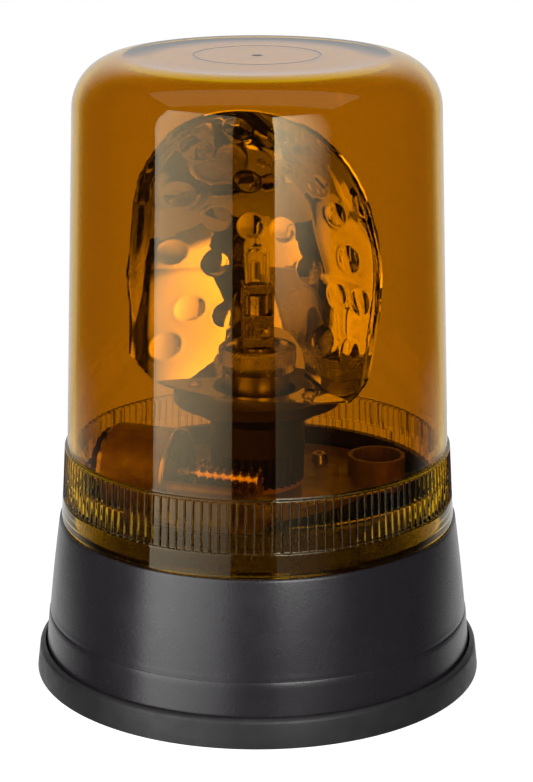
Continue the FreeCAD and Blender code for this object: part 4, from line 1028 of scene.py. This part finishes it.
    def _foot(self) -> bpy.types.Object:
        """Return the flat foot, from its front edge back to the bowl or the socket's room."""
        across = np.linspace(-self.foot_half, self.foot_half, self.foot_columns)
        ends = self._bowl(np.array([self.foot_half]), np.array([self.foot_top]))[0]
        rise = self.foot_front + ends
        radius = (self.foot_half ** 2 + rise ** 2) / (2 * rise)
        front = -self.foot_front + radius - np.sqrt(radius ** 2 - across ** 2)
        room = -np.sqrt(np.clip(self.socket_room ** 2 - across ** 2, 0.0, None))
        rear = np.where(np.abs(across) < self.socket_room, room,
                        self._bowl(across, np.full_like(across, self.foot_top)) + 0.3)
        share = np.linspace(0.0, 1.0, self.foot_rows)[:, None]
        y = front[None, :] + (rear - front)[None, :] * share
        x = np.repeat(across[None, :], self.foot_rows, axis=0)
        lift = self.sheet + 0.10 * np.sin(x / 4.1) * np.cos(y / 3.7)
        upper = np.stack((x, y, self.foot_top + lift), axis=-1)
        lower = np.stack((x, y, np.full_like(x, self.foot_top + 0.02)), axis=-1)
        return self._sheet("reflector_foot", upper, lower)


@dataclass
class BulbRing:
    """Knurled ring nut that holds the bulb, in millimetres."""

    radius: float = 14.25
    bottom: float = 113.3
    knurl_bottom: float = 116.6
    top: float = 122.0
    mouth: float = 11.4
    diamonds: int = 62
    knurl_depth: float = 0.45
    row_height: float = 1.35

    def build(self) -> list[bpy.types.Object]:
        """Build the ring with its crossed knurl.

        Returns:
            The ring.
        """
        columns = self.diamonds * 8
        angles = np.linspace(0.0, 2 * math.pi, columns, endpoint=False)
        rings: list[tuple[float, float, float]] = [
            (self.mouth, self.bottom + 0.1, 0.0), (self.radius - 0.9, self.bottom, 0.0),
            (self.radius - 0.45, self.bottom + 0.2, 0.0), (self.radius - 0.3, self.bottom + 0.5, 0.0),
            (self.radius - 0.3, self.knurl_bottom - 0.35, 0.0), (self.radius - 0.22, self.knurl_bottom, 0.0)]
        for height in np.arange(self.knurl_bottom + 0.1, self.top - 0.75, 0.17):
            rings.append((self.radius, float(height), 1.0))
        rings += [(self.radius - 0.25, self.top - 0.55, 0.0), (self.radius - 0.5, self.top - 0.25, 0.0),
                  (self.radius - 0.9, self.top - 0.05, 0.0), (self.radius - 1.3, self.top, 0.0),
                  (self.radius - 1.9, self.top - 0.06, 0.0), (self.mouth + 0.6, self.top - 0.4, 0.0),
                  (self.mouth + 0.3, self.top - 1.0, 0.0), (self.mouth, self.top - 1.5, 0.0)]
        points = []
        for radius, height, cut in rings:
            first = self._groove(angles * self.diamonds / (2 * math.pi) + height / self.row_height)
            second = self._groove(angles * self.diamonds / (2 * math.pi) - height / self.row_height)
            around = radius - cut * self.knurl_depth * np.maximum(first, second)
            points.append(np.stack((around * np.cos(angles), around * np.sin(angles),
                                    np.full(columns, height)), axis=-1))
        ring = new_object("bulb_ring_knurled", np.concatenate(points),
                          grid_faces(len(rings), columns, True, True), 50.0)
        return [place_piece(ring, "base", KNURL_METAL, "bulb_ring")]

    @staticmethod
    def _groove(turns: np.ndarray) -> np.ndarray:
        """Return 1 on the line of a groove and 0 halfway between two, for a phase in turns."""
        return np.abs(2 * np.mod(turns, 1.0) - 1) ** 1.6


@dataclass
class Bulb:
    """Halogen bulb in its pressed metal frame, in millimetres, turned a little about its axis."""

    half_width: float = 5.5
    half_depth: float = 4.6
    wall: float = 0.6
    low: float = 121.7
    sill: float = 133.9
    lintel: float = 142.1
    high: float = 145.2
    turned: float = 27.0
    rivet_across: float = 2.4
    rivet_height: float = 127.2
    glass_radius: float = 4.5
    glass_low: float = 134.0
    glass_shoulder: float = 155.2
    tip: float = 161.9
    glass_wall: float = 0.9
    coil_low: float = 146.8
    coil_high: float = 152.8
    coil_radius: float = 0.95
    coil_turns: int = 12
    wire_radius: float = 0.16

    def build(self) -> list[bpy.types.Object]:
        """Build the frame, the glass and the filament in place of their CAD solids.

        Returns:
            The bulb's pieces.
        """
        frame = place_piece(self._frame(), "base", BULB_METAL, "bulb_shell")
        glass = place_piece(self._glass(), "base", QUARTZ, "bulb_glass")
        filament = place_piece(self._filament(), "base", TUNGSTEN, "bulb_filament")
        for piece in (frame, filament):
            piece.data.transform(Matrix.Rotation(math.radians(self.turned), 4, "Z"))
        return [frame, glass, filament]

    def _frame(self) -> bpy.types.Object:
        """Return the frame: two posts, a lintel, a lower plate with a tab hole, and a slotted rivet."""
        wide, deep, wall = self.half_width, self.half_depth, self.wall
        hole_left, hole_right, hole_low, hole_high = -3.8, -1.6, 125.6, 129.3
        bars = [((-wide, -deep, self.low), (-wide + wall, deep, self.high)),
                ((wide - wall, -deep, self.low), (wide, deep, self.high)),
                ((-wide + wall, deep - wall, self.low), (wide - wall, deep, self.high)),
                ((-wide + 0.2, -deep, self.lintel), (wide - 0.2, -deep + wall, self.high)),
                ((-wide - 0.7, -deep + 0.8, self.lintel - 3.5), (-wide - 0.1, -deep + 2.4, self.high - 1.0)),
                ((-wide + 0.2, -deep, hole_high), (wide - 0.2, -deep + wall, self.sill)),
                ((-wide + 0.2, -deep, self.low + 0.6), (wide - 0.2, -deep + wall, hole_low)),
                ((-wide + 0.2, -deep, hole_low), (hole_left, -deep + wall, hole_high)),
                ((hole_right, -deep, hole_low), (wide - 0.2, -deep + wall, hole_high)),
                ((-wide + 0.2, -deep - 0.25, self.sill - 0.5), (wide - 0.2, -deep + 0.1, self.sill)),
                ((hole_left + 0.3, -deep + 0.9, hole_low), (hole_right - 0.3, -deep + 1.2, hole_high - 0.5)),
                ((-2.9, -1.2, self.sill - 2.0), (-2.1, -1.0, self.lintel + 1.0)),
                ((-0.4, -1.2, self.sill - 2.0), (0.4, -1.0, self.lintel + 1.0)),
                ((2.1, -1.2, self.sill - 2.0), (2.9, -1.0, self.lintel + 1.0))]
        frame = blocks("bulb_frame", bars, 0.12)
        head = turn("bulb_rivet", [(0.001, -0.2), (2.1, -0.2), (2.1, 0.25), (1.85, 0.55), (1.2, 0.75),
                                   (0.001, 0.8)], 40)
        slot = blocks("rivet_slot", [((-2.4, -0.28, 0.35), (2.4, 0.28, 1.4))], 0.0)
        cut_away(head, slot)
        place = Matrix.Translation((self.rivet_across * MM, -deep * MM, self.rivet_height * MM))
        head.data.transform(place @ Matrix.Rotation(math.pi / 2, 4, "X"))
        frame.data = joined(frame, head)
        return frame

    def _glass(self) -> bpy.types.Object:
        """Return the hollow envelope with its pip."""
        radius, inner = self.glass_radius, self.glass_radius - self.glass_wall
        low, bend = self.glass_low, self.glass_shoulder
        section = [(0.0, low), (radius - 0.5, low), (radius, low + 1.0), (radius, bend)]
        for step in range(1, 7):
            lean = step / 6 * math.radians(68.0)
            section.append((radius * math.cos(lean) + 0.1, bend + 3.9 * math.sin(lean)))
        tip = self.tip
        section += [(1.25, bend + 4.2), (1.05, tip - 1.4), (1.15, tip - 0.9), (0.8, tip - 0.2), (0.3, tip),
                    (0.0, tip), (0.0, bend + 2.9)]
        for step in range(6, -1, -1):
            lean = step / 6 * math.radians(75.0)
            section.append((inner * math.cos(lean), bend - 0.2 + 2.9 * math.sin(lean)))
        section += [(inner, low + 8.0), (inner - 0.8, low + 7.0), (0.0, low + 6.8)]
        return turn("bulb_envelope", section, 72)

    def _filament(self) -> bpy.types.Object:
        """Return the coil on its two leads."""
        turns = np.linspace(0.0, 1.0, self.coil_turns * 16)
        phase = turns * self.coil_turns * 2 * math.pi
        coil = np.stack((self.coil_radius * np.cos(phase), self.coil_radius * np.sin(phase),
                         self.coil_low + (self.coil_high - self.coil_low) * turns), axis=-1)
        feet = np.array([[0.0, 0.0, self.sill], [self.coil_radius, 0.0, self.coil_low - 2.0]])
        back = np.array([[-1.9, 0.0, self.coil_high + 1.0], [-2.3, 0.0, self.coil_high - 1.0],
                         [-2.1, 0.0, self.sill]])
        return tube("bulb_coil", np.concatenate((feet, coil, back)), self.wire_radius, 8)


@dataclass
class Gearmotor:
    """Front rim of the cast sleeve in a brighter zinc, a painted highlight, and the dark front face of the
    motor in it, in millimetres.
    """

    axis_across: float = -20.3
    axis_height: float = 77.5
    front: float = -23.4
    sleeve_radius: float = 15.6
    sleeve_bore: float = 13.85
    bush_radius: float = 3.3
    dimple_circle: float = 8.6
    dimple_radius: float = 1.7
    dimple_angles: tuple[float, ...] = (35.0, 215.0)

    def build(self) -> list[bpy.types.Object]:
        """Build both over the CAD solids.

        Returns:
            The rim and the face.
        """
        rim = turn("sleeve_rim", rounded_section((
            Corner(self.sleeve_bore + 0.1, -0.6), Corner(self.sleeve_radius + 0.25, -0.6, 0.3),
            Corner(self.sleeve_radius + 0.25, 1.1, 0.9), Corner(self.sleeve_bore + 0.1, 1.1, 0.7)), 8), 120)
        face = turn("motor_face", [
            (self.bush_radius, 0.02), (self.sleeve_bore - 0.1, 0.02), (self.sleeve_bore - 0.1, 0.3),
            (self.sleeve_bore - 0.6, 0.55), (11.6, 0.6), (11.2, 0.42), (5.4, 0.42), (5.0, 0.75),
            (4.6, 0.9), (self.bush_radius + 0.3, 0.9), (self.bush_radius, 0.7)], 120)
        places = [polar(self.dimple_circle, angle) for angle in self.dimple_angles]
        drill(face, places, self.dimple_radius, -1.0, 2.0)
        along_x = Matrix.Translation((self.front * MM, self.axis_across * MM, self.axis_height * MM)) \
            @ Matrix.Rotation(math.pi / 2, 4, "Y")
        for piece in (rim, face):
            piece.data.transform(along_x)
        # The rim's brighter zinc is a painted highlight on the cast sleeve.
        return [place_piece(rim, "base", RIM_HIGHLIGHT_ZINC),
                place_piece(face, "base", MOTOR_FACE)]


# ------------------------------------------------------------------ studio

@dataclass(frozen=True)
class SoftBox:
    """A large soft lamp: where it stands, its size in metres and its radiance.

    The shares say how bright it is towards each of its sides, as seen from the object's place. The spans say
    over which part of its width or height, from 0 to 1, it goes from one share to the other.
    """

    name: str
    azimuth: float
    elevation: float
    distance: float
    width: float
    height: float
    radiance: float
    left_share: float = 1.0
    right_share: float = 1.0
    low_share: float = 1.0
    high_share: float = 1.0
    across_span: tuple[float, float] = (0.0, 1.0)
    up_span: tuple[float, float] = (0.0, 1.0)

    @property
    def watts(self) -> float:
        """Power that gives the lamp its radiance."""
        return self.radiance * math.pi * self.width * self.height


@dataclass(frozen=True)
class Backdrop:
    """A white behind the object: where the dim room ends, where the white is full, and how white."""

    edge: float
    full: float
    white: float


@dataclass
class Studio:
    """Pale floor, plain backdrop, soft lamps and the camera."""

    camera_azimuth: float = 20.8
    camera_distance: float = 0.8492
    camera_height: float = 0.3528
    pitch: float = 16.30
    yaw: float = 0.223
    lens: float = 111.98
    floor_radius: float = 330.0
    world_light: float = 0.14
    room_dark: float = 0.02
    paper_glow: float = 0.8
    table_slope: tuple[float, float] = (-0.235, -0.30)
    aim: tuple[float, float, float] = (0.0, 0.0, 0.12)
    gloss_white: Backdrop = Backdrop(0.66, 0.95, 0.75)
    table_white: Backdrop = Backdrop(0.15, 0.75, 0.85)
    through_white: Backdrop = Backdrop(0.50, 0.85, 1.0)
    floor_white: Backdrop = Backdrop(-0.06, 0.05, 0.8)
    boxes: tuple[SoftBox, ...] = (
        SoftBox("box_left", -17.3, 2.0, 0.90, 0.80, 1.5, 3.4, left_share=1.4, right_share=0.35,
                low_share=0.45, high_share=0.75, up_span=(0.295, 0.345)),
        SoftBox("box_right", 48.0, 2.0, 0.95, 0.58, 1.5, 2.2, left_share=1.6, right_share=0.0,
                low_share=0.10, high_share=1.9, up_span=(0.375, 0.48)),
        SoftBox("box_top", 16.0, 80.0, 0.95, 1.60, 0.60, 0.5),
    )

    def build(self) -> None:
        """Set up the view, the world, the floor, the lamps and the camera."""
        scene = bpy.context.scene
        scene.view_settings.view_transform = "Standard"
        self._world(scene)
        self._floor()
        for box in self.boxes:
            self._lamp(box)
        self._camera(scene)

    def _backdrop(self, canvas: Canvas, coordinate: str, drop: Backdrop) -> bpy.types.NodeSocket:
        """Return a brightness that is white behind the object and dim in the room before it.

        Args:
            canvas: the canvas of the world or material.
            coordinate: Generated for a direction in the world, or Object for a place on the floor.
            drop: where the white lies and how white it is.

        Returns:
            The brightness's socket.
        """
        place = canvas.add("ShaderNodeTexCoord")
        turn_by = math.radians(self.camera_azimuth)
        facing = canvas.add("ShaderNodeVectorMath", operation="DOT_PRODUCT")
        facing.inputs[1].default_value = (-math.sin(turn_by), math.cos(turn_by), 0.0)
        spread = canvas.add("ShaderNodeMapRange", {
            "From Min": drop.edge, "From Max": drop.full, "To Min": self.room_dark, "To Max": drop.white},
            interpolation_type="SMOOTHSTEP")
        canvas.join(place.outputs[coordinate], facing.inputs[0])
        canvas.join(facing.outputs["Value"], spread.inputs["Value"])
        return spread.outputs["Result"]

    def _table(self, canvas: Canvas) -> bpy.types.NodeSocket:
        """Return the brightness of the white table round the object, for rays that go down to it."""
        place = canvas.add("ShaderNodeTexCoord")
        parts = canvas.add("ShaderNodeSeparateXYZ")
        down = canvas.add("ShaderNodeMapRange", {
            "From Min": self.table_slope[0], "From Max": self.table_slope[1]})
        table = canvas.add("ShaderNodeMath", operation="MULTIPLY")
        canvas.wire((place, "Generated", parts, "Vector"), (parts, "Z", down, "Value"),
                    (down, "Result", table, 0))
        canvas.join(self._backdrop(canvas, "Generated", self.table_white), table.inputs[1])
        return table.outputs["Value"]

    def _world(self, scene: bpy.types.Scene) -> None:
        """Light the scene evenly, and show white behind it."""
        world = bpy.data.worlds.new("studio_world")
        scene.world = world
        world.use_nodes = True
        world.node_tree.nodes.clear()
        canvas = Canvas(world.node_tree)
        out = canvas.add("ShaderNodeOutputWorld")
        white = (1.0, 1.0, 1.0, 1.0)
        last = canvas.add("ShaderNodeBackground", {"Color": white, "Strength": self.world_light})
        gloss = canvas.add("ShaderNodeBackground", {"Color": white})
        brightest = canvas.add("ShaderNodeMath", operation="MAXIMUM")
        canvas.join(self._backdrop(canvas, "Generated", self.gloss_white), brightest.inputs[0])
        canvas.join(self._table(canvas), brightest.inputs[1])
        canvas.join(brightest.outputs["Value"], gloss.inputs["Strength"])
        through = canvas.add("ShaderNodeBackground", {"Color": white})
        canvas.join(self._backdrop(canvas, "Generated", self.through_white), through.inputs["Strength"])
        seen = canvas.add("ShaderNodeBackground", {"Color": white, "Strength": 1.0})
        for ray, light in ((Ray.GLOSSY, gloss), (Ray.TRANSMISSION, through), (Ray.CAMERA, seen)):
            mixed = canvas.add("ShaderNodeMixShader")
            canvas.join(ray_mask(canvas, (ray,)), mixed.inputs["Fac"])
            canvas.wire((last, 0, mixed, 1), (light, "Background", mixed, 2))
            last = mixed
        canvas.join(last.outputs["Shader"], out.inputs["Surface"])

    def _floor(self) -> None:
        """Lay a round pale floor that keeps the object's shadow."""
        angles = np.linspace(0.0, 2 * math.pi, 96, endpoint=False)
        ring = np.stack((np.cos(angles), np.sin(angles), np.zeros_like(angles)), axis=-1) * self.floor_radius
        floor = new_object("floor", ring, [tuple(range(len(angles)))])
        made, canvas, out = new_material("floor_paper")
        paper = canvas.add("ShaderNodeBsdfDiffuse", {"Color": (0.8, 0.8, 0.8, 1.0)})
        last = paper
        for ray, strength in ((Ray.TRANSMISSION, self._backdrop(canvas, "Object", self.floor_white)),
                              (Ray.CAMERA, None)):
            glow = canvas.add("ShaderNodeEmission", {"Strength": self.paper_glow})
            if strength is not None:
                canvas.join(strength, glow.inputs["Strength"])
            summed, mixed = canvas.add("ShaderNodeAddShader"), canvas.add("ShaderNodeMixShader")
            canvas.join(ray_mask(canvas, (ray,)), mixed.inputs["Fac"])
            canvas.wire((paper, "BSDF", summed, 0), (glow, "Emission", summed, 1), (last, 0, mixed, 1),
                        (summed, "Shader", mixed, 2))
            last = mixed
        canvas.join(last.outputs["Shader"], out.inputs["Surface"])
        floor.data.materials.append(made)
        floor.visible_glossy = False

    def _lamp(self, box: SoftBox) -> None:
        """Stand a soft box round the object, facing its middle."""
        turn_by, lift = math.radians(box.azimuth), math.radians(box.elevation)
        back = Vector((math.sin(turn_by) * math.cos(lift), -math.cos(turn_by) * math.cos(lift),
                       math.sin(lift)))
        data = bpy.data.lights.new(box.name, "AREA")
        data.shape = "RECTANGLE"
        data.size, data.size_y = box.width, box.height
        data.energy = box.watts
        self._shade_lamp(data, box)
        lamp = bpy.data.objects.new(box.name, data)
        lamp.location = Vector(self.aim) + back * box.distance
        lamp.rotation_euler = back.to_track_quat("Z", "Y").to_euler()
        lamp.visible_camera = False
        bpy.context.scene.collection.objects.link(lamp)

    def _shade_lamp(self, data: bpy.types.AreaLight, box: SoftBox) -> None:
        """Let a soft box grow dimmer towards some of its sides.

        Args:
            data: the lamp.
            box: the soft box with its shares.
        """
        data.use_nodes = True
        data.node_tree.nodes.clear()
        canvas = Canvas(data.node_tree)
        out = canvas.add("ShaderNodeOutputLight")
        glow = canvas.add("ShaderNodeEmission")
        face = canvas.add("ShaderNodeNewGeometry")
        parts = canvas.add("ShaderNodeSeparateXYZ")
        canvas.join(face.outputs["Parametric"], parts.inputs["Vector"])
        product = canvas.add("ShaderNodeMath", operation="MULTIPLY")
        for place, (axis, span, start, end) in enumerate((
                ("X", box.across_span, box.left_share, box.right_share),
                ("Y", box.up_span, box.low_share, box.high_share))):
            ramp = canvas.add("ShaderNodeMapRange", {
                "From Min": span[0], "From Max": span[1], "To Min": start, "To Max": end})
            canvas.join(parts.outputs[axis], ramp.inputs["Value"])
            canvas.join(ramp.outputs["Result"], product.inputs[place])
        canvas.join(product.outputs["Value"], glow.inputs["Strength"])
        canvas.join(glow.outputs["Emission"], out.inputs["Surface"])

    def _camera(self, scene: bpy.types.Scene) -> None:
        """Stand the camera in front of the object."""
        data = bpy.data.cameras.new("camera")
        data.sensor_width = 36.0
        data.lens = self.lens
        data.clip_start, data.clip_end = 0.01, 20.0
        camera = bpy.data.objects.new("camera", data)
        turn_by = math.radians(self.camera_azimuth)
        camera.location = (math.sin(turn_by) * self.camera_distance,
                           -math.cos(turn_by) * self.camera_distance, self.camera_height)
        camera.rotation_euler = (math.radians(90.0 - self.pitch), 0.0, turn_by - math.radians(self.yaw))
        scene.collection.objects.link(camera)
        scene.camera = camera


def dress_cad_nodes(nodes: dict[str, bpy.types.Object]) -> None:
    """Give every CAD node its finish, also where a detailed piece stands for it."""
    for name, finish in CAD_FINISHES.items():
        dress(nodes[name], finish)
        LOG.info("dressed %s in %s", name, finish.name)


def main() -> None:
    """Load the frame, dress it, build the detailed pieces and the studio."""
    logging.basicConfig(level=logging.INFO, format="%(name)s: %(message)s")
    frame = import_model()
    Studio().build()
    dress_cad_nodes(frame["nodes"])
    for part in (Housing(), RubberFoot(), Gearmotor(), Reflector(), BulbRing(), Bulb(), LensDome()):
        for piece in part.build():
            LOG.info("built %s", piece.name)


if __name__ == "__main__":
    main()
